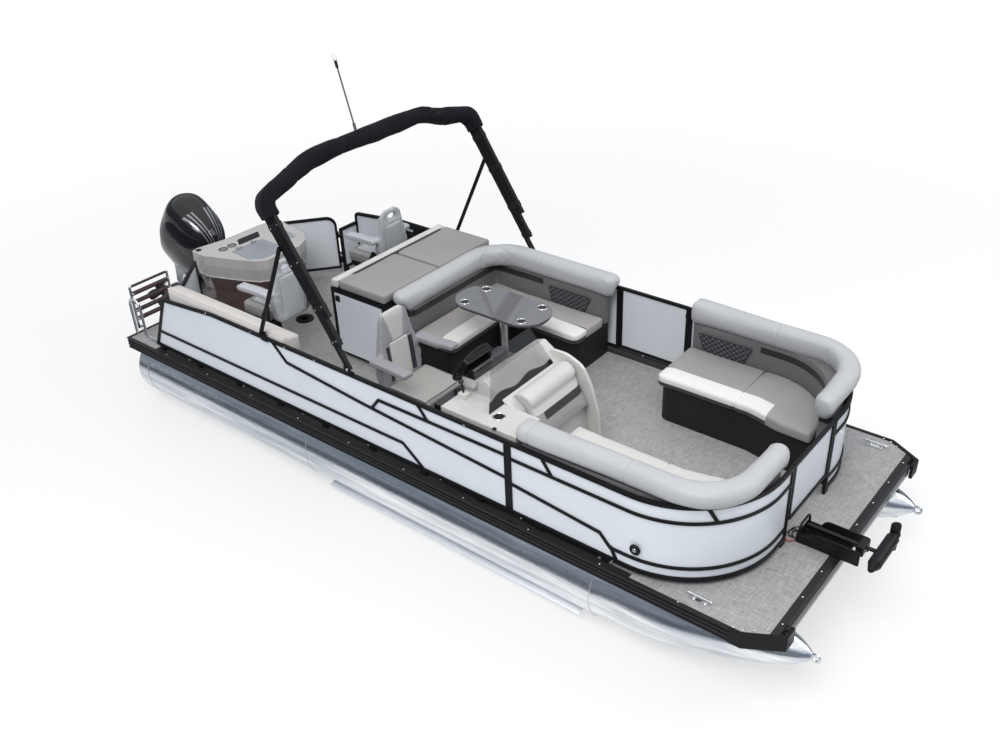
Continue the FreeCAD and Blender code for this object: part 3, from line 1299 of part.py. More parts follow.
def chair(at, heading, rise, back_top, half, aft, fore, grip):
    z0 = CHAIR_SEAT_Z + rise
    r = CHAIR_CORNER_R
    y = half - CHAIR_PAN
    pan = plan(((aft, -y), (fore - CHAIR_PAN, -y), (fore - CHAIR_PAN, y), (aft, y)), CHAIR_POST_TALL + rise, z0,
               (0, r, r, 0))
    seat = plan(((aft, -half), (fore, -half), (fore, half), (aft, half)), z0 + SEAT_GAP, z0 + CHAIR_SEAT_THICK,
                (0, r, r, 0))
    x0 = aft - SEAT_GAP
    lean = CHAIR_BACK_LEAN
    low = z0 - CHAIR_PAN
    profile = ((x0, low), (x0, z0 + CHAIR_SEAT_THICK), (x0 - lean, back_top),
               (x0 - lean - CHAIR_BACK_THICK * HALF_SHARE, back_top), (x0 - CHAIR_BACK_THICK, low))
    n = CHAIR_BACK_NARROW
    head = half * CHAIR_HEAD_SHARE
    wide_z = z0 + CHAIR_SEAT_THICK + CHAIR_SEAT_THICK
    face = ((-half + n, low), (half - n, low), (half, wide_z), (head, back_top), (-head, back_top), (-half, wide_z))
    reach = x0 - lean - CHAIR_BACK_THICK
    shield = front(face, reach, x0, (r, r, r + r, CHAIR_BACK_R, CHAIR_BACK_R, r + r))
    back = side(profile, -half, half).common(shield)
    if grip:
        g = FISH_GRIP_HALF
        slot = ((-g, FISH_GRIP_LOW), (g, FISH_GRIP_LOW), (g, FISH_GRIP_HIGH), (-g, FISH_GRIP_HIGH))
        back = back.cut(front(slot, reach, x0, FISH_GRIP_R))
    arms = []
    a0 = x0 - lean * HALF_SHARE - CHAIR_BACK_THICK * HALF_SHARE
    for y in (-half - CHAIR_ARM_WIDE, half - CHAIR_BACK_NARROW):
        high = CHAIR_ARM_Z + rise * HALF_SHARE
        low = high - CHAIR_ARM_THICK
        end = ((a0, low), (CHAIR_ARM_FORE, low), (CHAIR_ARM_FORE, high), (a0, high))
        arms.append(side(end, y, y + CHAIR_ARM_WIDE + CHAIR_BACK_NARROW, CHAIR_ARM_R))
    pieces = [pan, seat, union([back] + arms)]
    pieces = [turned(piece, heading, at[0], at[1]) for piece in pieces]
    return pieces[:1], pieces[1:]


def lid_hinges():
    # butt hinges laid down on the stern console, with their pins along Y
    made = []
    x, z = LID_PLAN[0][0] - LID_GAP * HALF_SHARE, STERN_TOP + HINGE_OFF
    for group in hinge_set(0, 0, 0, False, lid_hinge_places()):
        for shape in group:
            shape.rotate(vec(0, 0, 0), vec(0, 1, -1), HALF_TURN_DEG)
            shape.translate(vec(x, 0, z))
        made.append(group)
    return made


def lid_hinge_places():
    y0 = -LID_PLAN[0][1]
    y1 = -LID_PLAN[-1][1]
    step = (y1 - y0) * HALF_SHARE * HALF_SHARE
    return (y0 + step - HINGE_TALL * HALF_SHARE, y1 - step - HINGE_TALL * HALF_SHARE)


def console_section(points, z):
    return wire_of([vec(x, y, z) for x, y in points], STERN_CORNER_R)


def stern_console():
    lip = plan(STERN_TOP_PLAN, STERN_TOP - STERN_LIP, STERN_TOP, STERN_CORNER_R)
    waist = scaled(STERN_TOP_PLAN, STERN_WAIST_SHARE)
    foot = scaled(STERN_TOP_PLAN, STERN_FOOT_SHARE)
    upper = Part.makeLoft([console_section(waist, STERN_WAIST_Z),
                           console_section(STERN_TOP_PLAN, STERN_TOP - STERN_LIP)], True, True)
    lower = Part.makeLoft([console_section(foot, 0), console_section(waist, STERN_WAIST_Z)], True, True)
    whole = union([lower, upper, lip])
    seat = STERN_TOP - LID_THICK
    well = plan(shrunk(LID_PLAN, -LID_GAP), seat, STERN_TOP, LID_ROUND)
    tank = plan(shrunk(LID_PLAN, WELL_LEDGE), seat - WELL_DEEP, seat, LID_ROUND)
    hatch = plan(HATCH_PLAN, STERN_TOP - HATCH_DEEP, STERN_TOP, LID_ROUND)
    cups = []
    for x, y in STERN_CUPS:
        cups.append(Part.makeCylinder(CUP_R, CUP_TALL, vec(x, y, STERN_TOP - CUP_TALL)))
    return [union([whole.cut([well, tank, hatch] + cups)] + lid_hinges()[0])]


def livewell_lid():
    lid = plan(LID_PLAN, STERN_TOP - LID_THICK + SEAT_GAP, STERN_TOP, LID_ROUND)
    return [union([lid] + lid_hinges()[1])]


def side_cover_pad():
    y0 = -(FENCE_Y - FENCE_DEEP - SEAT_GAP)
    y1 = y0 + COVER_WIDE
    r = SEAT_ROUND
    profile = ((y0, COVER_Z), (y1, COVER_Z), (y1, COVER_TOP - r), (y0, COVER_TOP))
    return [front(profile, COVER_AFT_X + r, COVER_FORE_X, (0, r, r, 0))]


def boarding_ladder():
    x = LADDER_X
    bars = []
    for y in (-LADDER_IN_Y, -LADDER_OUT_Y):
        leg = rod(vec(x, y, 0), vec(x, y, LADDER_TALL), LADDER_TUBE_R)
        bore = rod(vec(x, y - LADDER_TUBE_R, LADDER_TUBE_R), vec(x, y + LADDER_TUBE_R, LADDER_TUBE_R),
                   PIVOT_R + SEAT_GAP)
        bars.append(leg.cut(bore))
    bars.append(rod(vec(x, -LADDER_OUT_Y, LADDER_TALL), vec(x, -LADDER_IN_Y, LADDER_TALL), LADDER_TUBE_R))
    bars.append(ball(vec(x, -LADDER_OUT_Y, LADDER_TALL), LADDER_TUBE_R))
    bars.append(ball(vec(x, -LADDER_IN_Y, LADDER_TALL), LADDER_TUBE_R))
    half = LADDER_STEP_DEEP * HALF_SHARE
    for i in range(LADDER_STEPS):
        z = LADDER_TALL * (i + 1) / (LADDER_STEPS + 1)
        tread = side(((x - half, z), (x + half, z), (x + half, z + LADDER_STEP_THICK), (x - half, z + LADDER_STEP_THICK)),
                     -LADDER_OUT_Y, -LADDER_IN_Y, SINK)
        bars.append(tread)
    return [union(bars)]


def ladder_fittings():
    fittings = []
    outer = -LADDER_OUT_Y - HOOP_SET
    for y in (outer, outer + HOOP_PITCH + HOOP_SET):
        x0, x1 = HOOP_X
        fittings.append(pipe(((x0, y, 0), (x0, y, HOOP_TALL), (x1, y, HOOP_TALL), (x1, y, RAIL_RISE)),
                             LADDER_TUBE_R, HOOP_BEND))
    z = LADDER_TUBE_R
    for y in (-LADDER_IN_Y + LADDER_TUBE_R + EAR_GAP, -LADDER_OUT_Y + LADDER_TUBE_R + EAR_GAP):
        arm = box(LADDER_X - z, -RAIL_OUT, y, y + LADDER_ARM, -STERN_RAIL_DROP * HALF_SHARE, z + z)
        pin = rod(vec(LADDER_X, y, z), vec(LADDER_X, y - EAR_GAP - z - z, z), PIVOT_R)
        fittings.append(union([arm, pin]))
    return fittings


def lean_point(along, y, over=0):
    # point on the folded bimini top: along it from its hinge, and ahead of its main tube
    a = math.radians(BIMINI_LEAN_DEG)
    return (BIMINI_X - along * math.sin(a) + over * math.cos(a), y,
            BIMINI_Z + along * math.cos(a) + over * math.sin(a))


def hoop_line(start, over, top):
    # one bow: two legs, two rounded shoulders and a gently bowed crown
    half = BIMINI_HALF
    crown = BIMINI_CROWN_HALF
    low = top - BIMINI_SHOULDER
    return (lean_point(start, -half, over), lean_point(low, -half, over), lean_point(top, -crown, over),
            lean_point(top, crown, over), lean_point(low, half, over), lean_point(start, half, over))


def bimini_arch():
    # three bows folded into one bundle; the second and third end on the one behind
    t = BIMINI_TUBE * HALF_SHARE
    bows = [square_pipe(hoop_line(-FOOT_OVER, 0, BIMINI_LONG), t, t, BOW_TUBE_R, BIMINI_CORNER_R)]
    over = 0
    for start in BUNDLE_STARTS:
        over = over + BUNDLE_PITCH
        bows.append(square_pipe(hoop_line(start, over, BIMINI_LONG), t, t, BOW_TUBE_R, BIMINI_CORNER_R))
        for y in (-BIMINI_HALF, BIMINI_HALF):
            low = vec(*lean_point(start + BUNDLE_PITCH, y, over))
            back = vec(*lean_point(start + BUNDLE_PITCH, y, over - BUNDLE_PITCH))
            bows.append(rod(low, back, PIVOT_R))
    reach = FENCE_Y + BIMINI_TUBE
    bore = rod(vec(BIMINI_X, -reach, BIMINI_Z), vec(BIMINI_X, reach, BIMINI_Z), PIVOT_R + SEAT_GAP)
    return [union(bows).cut(bore)]


def boot_pipe(half_wide, half_deep, corner, start):
    over = BUNDLE_PITCH
    return square_pipe(hoop_line(start, over, BIMINI_LONG), half_wide, half_deep, corner, BIMINI_CORNER_R)


def bimini_boot():
    # fabric sleeve round the bundle of bows, fuller fore and aft than it is wide
    wide = BOOT_R * BOOT_FLAT_SHARE
    boot = boot_pipe(wide, BOOT_R, wide * BEND_SHARE, BOOT_FROM)
    t = BIMINI_TUBE * HALF_SHARE + SEAT_GAP
    deep = BUNDLE_PITCH + BIMINI_TUBE * HALF_SHARE + SEAT_GAP
    return [boot.cut(boot_pipe(t, deep, BOW_TUBE_R, 0))]


def bimini_mounts():
    mounts = []
    t = BIMINI_TUBE
    y = -FENCE_Y
    ear_y = -BIMINI_HALF - t * HALF_SHARE - EAR_GAP
    base = box(BIMINI_X - t, BIMINI_X + t, ear_y - EAR_THICK, y + FENCE_DEEP, FENCE_TOP, FENCE_TOP + MOUNT_TALL)
    ear = side(((BIMINI_X - t, FENCE_TOP), (BIMINI_X + t, FENCE_TOP), (BIMINI_X + t, BIMINI_Z + t),
                (BIMINI_X - t, BIMINI_Z + t)), ear_y - EAR_THICK, ear_y, (0, 0, t * HALF_SHARE, t * HALF_SHARE))
    pin = rod(vec(BIMINI_X, ear_y, BIMINI_Z), vec(BIMINI_X, -BIMINI_HALF + t * HALF_SHARE, BIMINI_Z), PIVOT_R)
    main = union([base, ear, pin])
    plate = box(BRACE_X - t, BRACE_X + t, y - EAR_THICK, y, FENCE_TOP - t, BIMINI_Z + t * HALF_SHARE)
    stub = rod(vec(BRACE_X, y, BIMINI_Z), vec(BRACE_X, -BRACE_Y - t * HALF_SHARE, BIMINI_Z), PIVOT_R)
    foot = union([plate, stub])
    for block in (main, foot):
        mounts.append(block)
        mounts.append(mirror(block))
    return mounts


def bimini_brace():
    a = math.radians(BRACE_LEAN_DEG)
    ends = []
    for along in (-FOOT_OVER, BRACE_LONG + FOOT_OVER, BRACE_LONG):
        ends.append(vec(BRACE_X + along * math.sin(a), -BRACE_Y, BIMINI_Z + along * math.cos(a)))
    t = BRACE_TUBE * HALF_SHARE
    tube = square_pipe(((ends[0].x, ends[0].y, ends[0].z), (ends[1].x, ends[1].y, ends[1].z)), t, t, BOW_TUBE_R, 0)
    bore = rod(vec(BRACE_X, -FENCE_Y, BIMINI_Z), vec(BRACE_X, -BRACE_Y - BIMINI_TUBE, BIMINI_Z),
               PIVOT_R + SEAT_GAP)
    pin = rod(ends[2], ends[2].add(vec(0, BRACE_PIN_LONG, 0)), PIVOT_R)
    return union([tube.cut(bore), pin])


def light_pole():
    x, y, z = lean_point(BIMINI_LONG, POLE_Y, BUNDLE_PITCH)
    z = z + BOOT_R
    foot = Part.makeCylinder(POLE_COLLAR_R, POLE_COLLAR_TALL, vec(0, 0, -SINK - SINK))
    pole = Part.makeCylinder(POLE_R, POLE_TALL, vec(0, 0, 0))
    collar = Part.makeCylinder(POLE_COLLAR_R, POLE_COLLAR_TALL, vec(0, 0, POLE_TALL - POLE_COLLAR_TALL))
    lamp = Part.makeCylinder(POLE_LAMP_R, POLE_LAMP_TALL, vec(0, 0, POLE_TALL))
    cap = ball(vec(0, 0, POLE_TALL + POLE_LAMP_TALL), POLE_LAMP_R)
    whole = union([foot, pole, collar, lamp, cap])
    whole.rotate(vec(0, 0, 0), vec(0, 1, 0), -POLE_LEAN_DEG)
    whole.translate(vec(x, y, z))
    return [whole.cut(bimini_boot()[0])]


def tilt(shape):
    shape.rotate(vec(0, 0, 0), vec(0, 1, 0), MOTOR_TILT_DEG)
    shape.translate(vec(MOTOR_TILT_X, 0, MOTOR_TILT_Z))
    return shape


def cowl_wire(share, shift, z):
    outline = [(x, y) for x, y in COWL_PLAN] + [(x, -y) for x, y in COWL_PLAN[::-1]]
    egg = Part.BSplineCurve()
    egg.interpolate(Points=[vec(x, y, z) for x, y in scaled(outline, share, shift)], PeriodicFlag=True)
    return Part.Wire([egg.toShape()])


def cowl_loft(sections):
    return Part.makeLoft([cowl_wire(share, shift, z) for z, share, shift in sections], True, False)


def outboard_cowl():
    return [tilt(cowl_loft(COWL_SECTIONS))]


def outboard_skirt():
    upper = cowl_loft(SKIRT_SECTIONS)
    rings = []
    for z, x0, x1, half in SKIRT_TAIL:
        corners = [vec(x0, -half, z), vec(x1, -half, z), vec(x1, half, z), vec(x0, half, z)]
        rings.append(wire_of(corners, SKIRT_TAIL_ROUND))
    return [tilt(union([upper, Part.makeLoft(rings, True, True)]))]


def outboard_leg():
    wide = LEG_WIDE_HALF
    x0 = LEG_FRONT - LEG_HALF - LEG_HALF
    top = SKIRT_TAIL[-1][0] - SEAT_GAP
    outline = ((x0, -wide), (LEG_FRONT, -wide), (LEG_FRONT, wide), (x0, wide))
    leg = plan(outline, GEAR_Z, top, LEG_ROUND)
    near = SKIRT_TAIL[0][2] + SEAT_GAP
    yoke = box(near, STEER_X + SWIVEL_R, -YOKE_HALF, YOKE_HALF, SWIVEL_HIGH + SEAT_GAP,
               SKIRT_TAIL[0][0] - SEAT_GAP)
    stem = box(near, STEER_X - SWIVEL_R - SEAT_GAP - SINK, -wide, wide, top - LEG_HALF,
               SWIVEL_HIGH + SINK)
    bridge = box(x0 + LEG_ROUND, STEER_X - SWIVEL_R - SEAT_GAP - SINK, -wide, wide, top - LEG_HALF, top)
    plate = plan(((GEAR_AFT, -PLATE_HALF), (LEG_FRONT + LEG_HALF, -wide), (LEG_FRONT + LEG_HALF, wide),
                  (GEAR_AFT, PLATE_HALF)), PLATE_Z, PLATE_Z + PLATE_THICK, LEG_ROUND)
    gear = rod(vec(GEAR_FORE, 0, GEAR_Z), vec(GEAR_AFT, 0, GEAR_Z), GEAR_R)
    nose = Part.makeCone(GEAR_R, GEAR_R * HALF_SHARE, GEAR_NOSE, vec(GEAR_FORE, 0, GEAR_Z), vec(1, 0, 0))
    tip = ball(vec(GEAR_FORE + GEAR_NOSE, 0, GEAR_Z), GEAR_R * HALF_SHARE)
    skeg = side(((GEAR_FORE - LEG_HALF, GEAR_Z), (x0, SKEG_LOW), (x0 - LEG_HALF, SKEG_LOW), (x0 - LEG_HALF, GEAR_Z)),
                -PLATE_THICK * HALF_SHARE, PLATE_THICK * HALF_SHARE, (0, LEG_ROUND, LEG_ROUND, 0))
    shaft = rod(vec(GEAR_AFT, 0, GEAR_Z), vec(GEAR_AFT - PROP_GAP - PROP_HUB_LONG, 0, GEAR_Z), PROP_SHAFT_R)
    return [tilt(union([leg, yoke, stem, bridge, plate, gear, nose, tip, skeg, shaft]))]


def outboard_propeller():
    x = GEAR_AFT - PROP_GAP
    hub = rod(vec(x, 0, GEAR_Z), vec(x - PROP_HUB_LONG, 0, GEAR_Z), PROP_HUB_R)
    middle = x - PROP_HUB_LONG * HALF_SHARE
    half = PROP_THICK * HALF_SHARE
    outline = ((-PROP_ROOT_HALF, GEAR_Z), (PROP_ROOT_HALF, GEAR_Z), (PROP_TIP_HALF, GEAR_Z + PROP_HUB_R + PROP_ROUND),
               (PROP_TIP_HALF, GEAR_Z + PROP_R), (-PROP_ROOT_HALF, GEAR_Z + PROP_R))
    blades = []
    for i in range(PROP_BLADES):
        blade = front(outline, middle - half, middle + half, (0, 0, PROP_ROUND, PROP_TIP_HALF, PROP_ROUND))
        blade.rotate(vec(middle, 0, GEAR_Z), vec(0, 0, 1), PROP_PITCH_DEG)
        blade.rotate(vec(x, 0, GEAR_Z), vec(1, 0, 0), FULL_TURN_DEG * i / PROP_BLADES)
        blades.append(blade)
    bore = rod(vec(x, 0, GEAR_Z), vec(x - PROP_HUB_LONG, 0, GEAR_Z), PROP_SHAFT_R + SEAT_GAP)
    return [tilt(union([hub] + blades).cut(bore))]


def outboard_swivel_bracket():
    tube = Part.makeCylinder(SWIVEL_R, SWIVEL_HIGH - SWIVEL_LOW, vec(STEER_X, 0, SWIVEL_LOW))
    block = box(STEER_X, SWIVEL_NOSE, -SWIVEL_HALF, SWIVEL_HALF, SWIVEL_BLOCK_LOW, SWIVEL_HIGH)
    bore = rod(vec(0, -SWIVEL_HALF, 0), vec(0, SWIVEL_HALF, 0), TILT_TUBE_R + SEAT_GAP)
    return [tilt(union([tube, block]).cut(bore))]


def outboard_clamp_bracket():
    x0 = MOTOR_TILT_X
    z0 = MOTOR_TILT_Z
    x1 = POD_AFT_X
    profile = ((x0 - CLAMP_BACK, CLAMP_LOW), (x1, CLAMP_LOW), (x1, CLAMP_STEP), (x0 + CLAMP_BACK, z0 + CLAMP_BACK),
               (x0 - CLAMP_BACK, z0 + CLAMP_BACK))
    arms = []
    for y in (SWIVEL_HALF + SWIVEL_GAP, -SWIVEL_HALF - SWIVEL_GAP - CLAMP_THICK):
        arms.append(side(profile, y, y + CLAMP_THICK, (CLAMP_BACK, 0, 0, 0, CLAMP_BACK * BEND_SHARE)))
    half = SWIVEL_HALF + SWIVEL_GAP
    arms.append(rod(vec(x0, -half, z0), vec(x0, half, z0), TILT_TUBE_R))
    return [union(arms)]


def trolling_motor_base():
    y0 = TROLL_Y - TROLL_BASE_HALF
    y1 = TROLL_Y + TROLL_BASE_HALF
    low = RAIL_RISE
    tall = TROLL_BASE_TALL
    wall = TROLL_BASE_WALL
    tray = box(TROLL_BASE_AFT, TROLL_BASE_FORE, y0, y1, low, low + tall)
    hollow = box(TROLL_BASE_AFT + wall, TROLL_BASE_FORE, y0 + wall, y1 - wall, low + wall, low + tall)
    ears = []
    reach = TROLL_PIVOT_X + TROLL_PIN_R + TROLL_PIN_R
    for y in (y0, y1 - TROLL_PIN_R):
        points = ((TROLL_BASE_AFT + tall, low), (reach, low), (reach, TROLL_Z + TROLL_PIN_R),
                  (TROLL_BASE_AFT + tall + tall, TROLL_Z + TROLL_PIN_R))
        ears.append(side(points, y, y + TROLL_PIN_R, (0, TROLL_PIN_R, TROLL_PIN_R + TROLL_PIN_R, tall)))
    pin = rod(vec(TROLL_PIVOT_X, y0, TROLL_Z - TROLL_PIN_DROP), vec(TROLL_PIVOT_X, y1, TROLL_Z - TROLL_PIN_DROP),
              TROLL_PIN_R)
    x = TROLL_BASE_AFT + wall + wall
    handle = pipe(((x, y0 + wall, low + wall), (x, y0 + wall, TROLL_HANDLE_HIGH), (x, y1 - wall, TROLL_HANDLE_HIGH),
                   (x, y1 - wall, low + wall)), TROLL_HANDLE_R, TROLL_BASE_HALF * BEND_SHARE)
    return [union([tray.cut(hollow), pin, handle] + ears)]


def trolling_motor_bracket():
    y0 = TROLL_Y - TROLL_BRACKET_HALF
    y1 = TROLL_Y + TROLL_BRACKET_HALF
    tall = TROLL_BRACKET_TALL
    x = TROLL_PIVOT_X
    z = TROLL_Z
    body = side(((x - tall, z - TROLL_PIN_DROP - tall * HALF_SHARE), (x + tall, z - TROLL_PIN_DROP - tall * HALF_SHARE),
                 (x + tall, z + tall), (x - tall, z + tall)), y0, y1, TROLL_PIN_R)
    bore = rod(vec(x, y0, z - TROLL_PIN_DROP), vec(x, y1, z - TROLL_PIN_DROP), TROLL_PIN_R + SEAT_GAP)
    slot = rod(vec(x - tall, TROLL_Y, z), vec(x + tall, TROLL_Y, z), TROLL_SHAFT_R + SEAT_GAP)
    return [body.cut(bore).cut(slot)]


def trolling_motor_shaft():
    return [rod(vec(TROLL_PIVOT_X - TROLL_SHAFT_BACK, TROLL_Y, TROLL_Z),
                vec(TROLL_MOTOR_X - TROLL_MOTOR_R, TROLL_Y, TROLL_Z), TROLL_SHAFT_R)]


def trolling_motor_unit():
    y0 = TROLL_Y - TROLL_MOTOR_HALF
    y1 = TROLL_Y + TROLL_MOTOR_HALF
    x = TROLL_MOTOR_X
    z = TROLL_Z
    motor = rod(vec(x, y0 + TROLL_NOSE_LONG, z), vec(x, y1, z), TROLL_MOTOR_R)
    r = TROLL_MOTOR_R * HALF_SHARE
    nose = Part.makeCone(r, TROLL_MOTOR_R, TROLL_NOSE_LONG, vec(x, y0, z), vec(0, 1, 0))
    tip = ball(vec(x, y0, z), r)
    end = y1 + PROP_GAP + TROLL_PROP_LONG
    shaft = rod(vec(x, y1, z), vec(x, end, z), PIVOT_R)
    return [union([motor, nose, tip, shaft])]


def trolling_propeller():
    x = TROLL_MOTOR_X
    z = TROLL_Z
    y = TROLL_Y + TROLL_MOTOR_HALF + PROP_GAP
    hub = rod(vec(x, y, z), vec(x, y + TROLL_PROP_LONG, z), TROLL_PROP_HUB)
    middle = y + TROLL_PROP_LONG * HALF_SHARE
    half = TROLL_BLADE_HALF
    blades = []
    for low, high in ((z, z + TROLL_PROP_R), (z - TROLL_PROP_R, z)):
        outline = ((x - half, low), (x + half, low), (x + half, high), (x - half, high))
        blade = side(outline, middle - PROP_THICK * HALF_SHARE, middle + PROP_THICK * HALF_SHARE, TROLL_BLADE_ROUND)
        blade.rotate(vec(x, middle, z), vec(0, 0, 1), PROP_PITCH_DEG if low == z else -PROP_PITCH_DEG)
        blades.append(blade)
    bore = rod(vec(x, y, z), vec(x, y + TROLL_PROP_LONG, z), PIVOT_R + SEAT_GAP)
    return [union([hub] + blades).cut(bore)]


def foot_pedal():
    x, y = PEDAL_AT
    half = PEDAL_WIDE * HALF_SHARE
    r = PEDAL_ROUND
    base = plan(((x, y - half), (x + PEDAL_LONG, y - half), (x + PEDAL_LONG, y + half), (x, y + half)), 0, PEDAL_LOW, r)
    tread = side(((x + r, 0), (x + PEDAL_LONG - r, 0), (x + PEDAL_LONG - r, PEDAL_LOW + SINK), (x + r, PEDAL_TALL)),
                 y - half + r, y + half - r, (0, 0, SINK, SINK))
    return [union([base, tread])]


def cleats():
    made = []
    y = DECK_HALF - CLEAT_SET
    long, wide, tall = CLEAT_BASE
    places = [(DECK_LENGTH - CLEAT_BOW_BACK[0], -y), (DECK_LENGTH - CLEAT_BOW_BACK[1], y - CLEAT_SET * HALF_SHARE),
              (CLEAT_STERN_X, -y), (CLEAT_STERN_X, y)]
    for x, y in places:
        half = CLEAT_LONG * HALF_SHARE
        bar = rod(vec(x - half, y, CLEAT_TALL), vec(x + half, y, CLEAT_TALL), CLEAT_R)
        ends = [ball(vec(x - half, y, CLEAT_TALL), CLEAT_R), ball(vec(x + half, y, CLEAT_TALL), CLEAT_R)]
        base = box(x - long * HALF_SHARE, x + long * HALF_SHARE, y - wide * HALF_SHARE, y + wide * HALF_SHARE, 0, tall)
        legs = []
        for dx in (-half * HALF_SHARE, half * HALF_SHARE):
            legs.append(Part.makeCylinder(CLEAT_R, CLEAT_TALL, vec(x + dx, y, 0)))
        made.append(union([bar, base] + ends + legs))
    return made


fence_frames, fence_panels = fences()
port_gate_frame, port_gate_panel = port_gate()
bow_gate_frame, bow_gate_panel = bow_gate()
stern_gate_frame, stern_gate_panel = stern_gate()
helm_chair_frame, helm_chair_cushions = chair(HELM_CHAIR_AT, 0, 0, CHAIR_BACK_TOP, CHAIR_SEAT_HALF,
                                              CHAIR_SEAT_AFT, CHAIR_SEAT_FORE, False)
port_chair_frame, port_chair_cushions = chair(FISH_PORT_AT, HALF_TURN_DEG, FISH_RISE, FISH_BACK_TOP, FISH_SEAT_HALF,
                                              FISH_SEAT_AFT, FISH_SEAT_FORE, True)
stbd_chair_frame, stbd_chair_cushions = chair(FISH_STBD_AT, HALF_TURN_DEG, FISH_RISE, FISH_BACK_TOP, FISH_SEAT_HALF,
                                              FISH_SEAT_AFT, FISH_SEAT_FORE, True)
brace = bimini_brace()

PIECES = {
    "pontoons": pontoons(),
    "deck_frame": deck_frame(),
    "motor_pod": motor_pod(),
    "deck": deck(),
    "rub_rails": rub_rails(),
    "bow_channel": bow_channel(),
    "corner_castings": corner_castings(),
    "fence_frames": fence_frames,
    "fence_panels": fence_panels,
    "cleats": cleats(),
    "stern_console": stern_console(),
    "livewell_lid": livewell_lid(),
    "side_cover_pad": side_cover_pad(),
    "cabinet": cabinet(),
    "cabinet_door": cabinet_door(),
    "cabinet_pads": cabinet_pads(),
    "lounge_bases": lounge_bases(),
    "lounge_seats": lounge_seats(),
    "lounge_backs": lounge_backs(),
    "lounge_bolsters": lounge_bolsters(),
    "table_top": table_top(),
    "table_leg": table_leg(),
    "helm_console": helm_console(),
    "console_pads": console_pads(),
    "windscreen": windscreen(),
    "steering_wheel": steering_wheel(),
    "throttle_lever": throttle_lever(),
    "chair_pedestals": chair_pedestals(),
    "helm_chair_frame": helm_chair_frame,
    "helm_chair_cushions": helm_chair_cushions,
    "port_chair_frame": port_chair_frame,
    "port_chair_cushions": port_chair_cushions,
    "starboard_chair_frame": stbd_chair_frame,
    "starboard_chair_cushions": stbd_chair_cushions,
    "port_gate_frame": [port_gate_frame],
    "port_gate_panel": [port_gate_panel],
    "bow_gate_frame": [bow_gate_frame],
    "bow_gate_panel": [bow_gate_panel],
    "stern_gate_frame": [stern_gate_frame],
    "stern_gate_panel": [stern_gate_panel],
    "boarding_ladder": boarding_ladder(),
    "ladder_fittings": ladder_fittings(),
    "bimini_mounts": bimini_mounts(),
    "bimini_arch": bimini_arch(),
    "bimini_boot": bimini_boot(),
    "bimini_brace_starboard": [brace],
    "bimini_brace_port": [mirror(brace)],
    "light_pole": light_pole(),
    "outboard_clamp_bracket": outboard_clamp_bracket(),
    "outboard_swivel_bracket": outboard_swivel_bracket(),
    "outboard_cowl": outboard_cowl(),
    "outboard_skirt": outboard_skirt(),
    "outboard_leg": outboard_leg(),
    "outboard_propeller": outboard_propeller(),
    "trolling_motor_base": trolling_motor_base(),
    "trolling_motor_bracket": trolling_motor_bracket(),
    "trolling_motor_shaft": trolling_motor_shaft(),
    "trolling_motor_unit": trolling_motor_unit(),
    "trolling_propeller": trolling_propeller(),
    "foot_pedal": foot_pedal(),
}

shift = vec(-(AFT_REACH + FORE_REACH) * HALF_SHARE, 0, GROUND_DROP)
for name, shapes in PIECES.items():
    whole = shapes[0] if len(shapes) == 1 else Part.makeCompound(shapes)
    whole.translate(shift)
    whole.exportStep("parts/" + name + ".step")
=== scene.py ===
# %% [markdown]
# # A pontoon fishing boat
#
# The boat is two aluminium pontoons under a flat deck, with low fences round it, a helm, lounges,
# swivel chairs, an outboard at the stern and a small electric motor on the bow. The solids are
# already there as a frame. This notebook dresses them: every solid gets a finish worked out from
# its own coordinates, every cushion is made again as padded vinyl, and the small fittings are
# added. Lengths are in metres and colours are linear.

# %% The frame and the shorthand for places on the boat
import math
import bmesh
import bpy
import numpy as np
from mathutils import Matrix, Vector, noise


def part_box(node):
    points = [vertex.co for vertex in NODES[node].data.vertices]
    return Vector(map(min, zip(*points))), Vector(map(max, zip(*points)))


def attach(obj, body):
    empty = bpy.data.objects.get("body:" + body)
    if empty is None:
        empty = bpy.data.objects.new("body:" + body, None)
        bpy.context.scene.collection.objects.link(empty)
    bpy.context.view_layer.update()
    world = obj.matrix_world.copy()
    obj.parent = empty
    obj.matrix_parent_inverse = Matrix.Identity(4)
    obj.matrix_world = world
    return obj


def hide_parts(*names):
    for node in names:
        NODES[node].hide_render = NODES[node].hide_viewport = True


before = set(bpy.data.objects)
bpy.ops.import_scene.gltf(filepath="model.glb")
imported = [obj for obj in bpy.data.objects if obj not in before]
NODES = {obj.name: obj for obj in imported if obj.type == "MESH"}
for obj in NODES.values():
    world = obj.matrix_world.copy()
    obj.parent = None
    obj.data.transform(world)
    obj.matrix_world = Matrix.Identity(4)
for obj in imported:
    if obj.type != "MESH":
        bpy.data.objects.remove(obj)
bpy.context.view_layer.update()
STERN_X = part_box("deck")[0].x
DECK_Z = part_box("deck")[1].z
print("solids", len(NODES), "stern at x", round(STERN_X, 4), "deck top at z", round(DECK_Z, 4))


def at(x, y, z=0.0):
    """A place on the boat: metres ahead of the stern, to port, and above the deck."""
    return Vector((x + STERN_X, y, z + DECK_Z))


def x_at(x):
    return at(x, 0).x


def rgb(r, g, b):
    return (r, g, b, 1.0)


def grey(v):
    return rgb(v, v, v)


def shade(tone, times, plus=0.0):
    """A tone made darker or lighter."""
    return rgb(*[c * times + plus for c in tone])


JET = rgb(0.006, 0.006, 0.007)

# %% [markdown]
# ## Writing a shader as arithmetic
#
# A finish is a few numbers that change over the surface: how light, how rough, how high. Nodes
# can be wired by hand, but a sum reads better as a sum, so a small class wraps one output socket
# and turns + - * / into Math nodes. A second class holds one material and makes every other node.

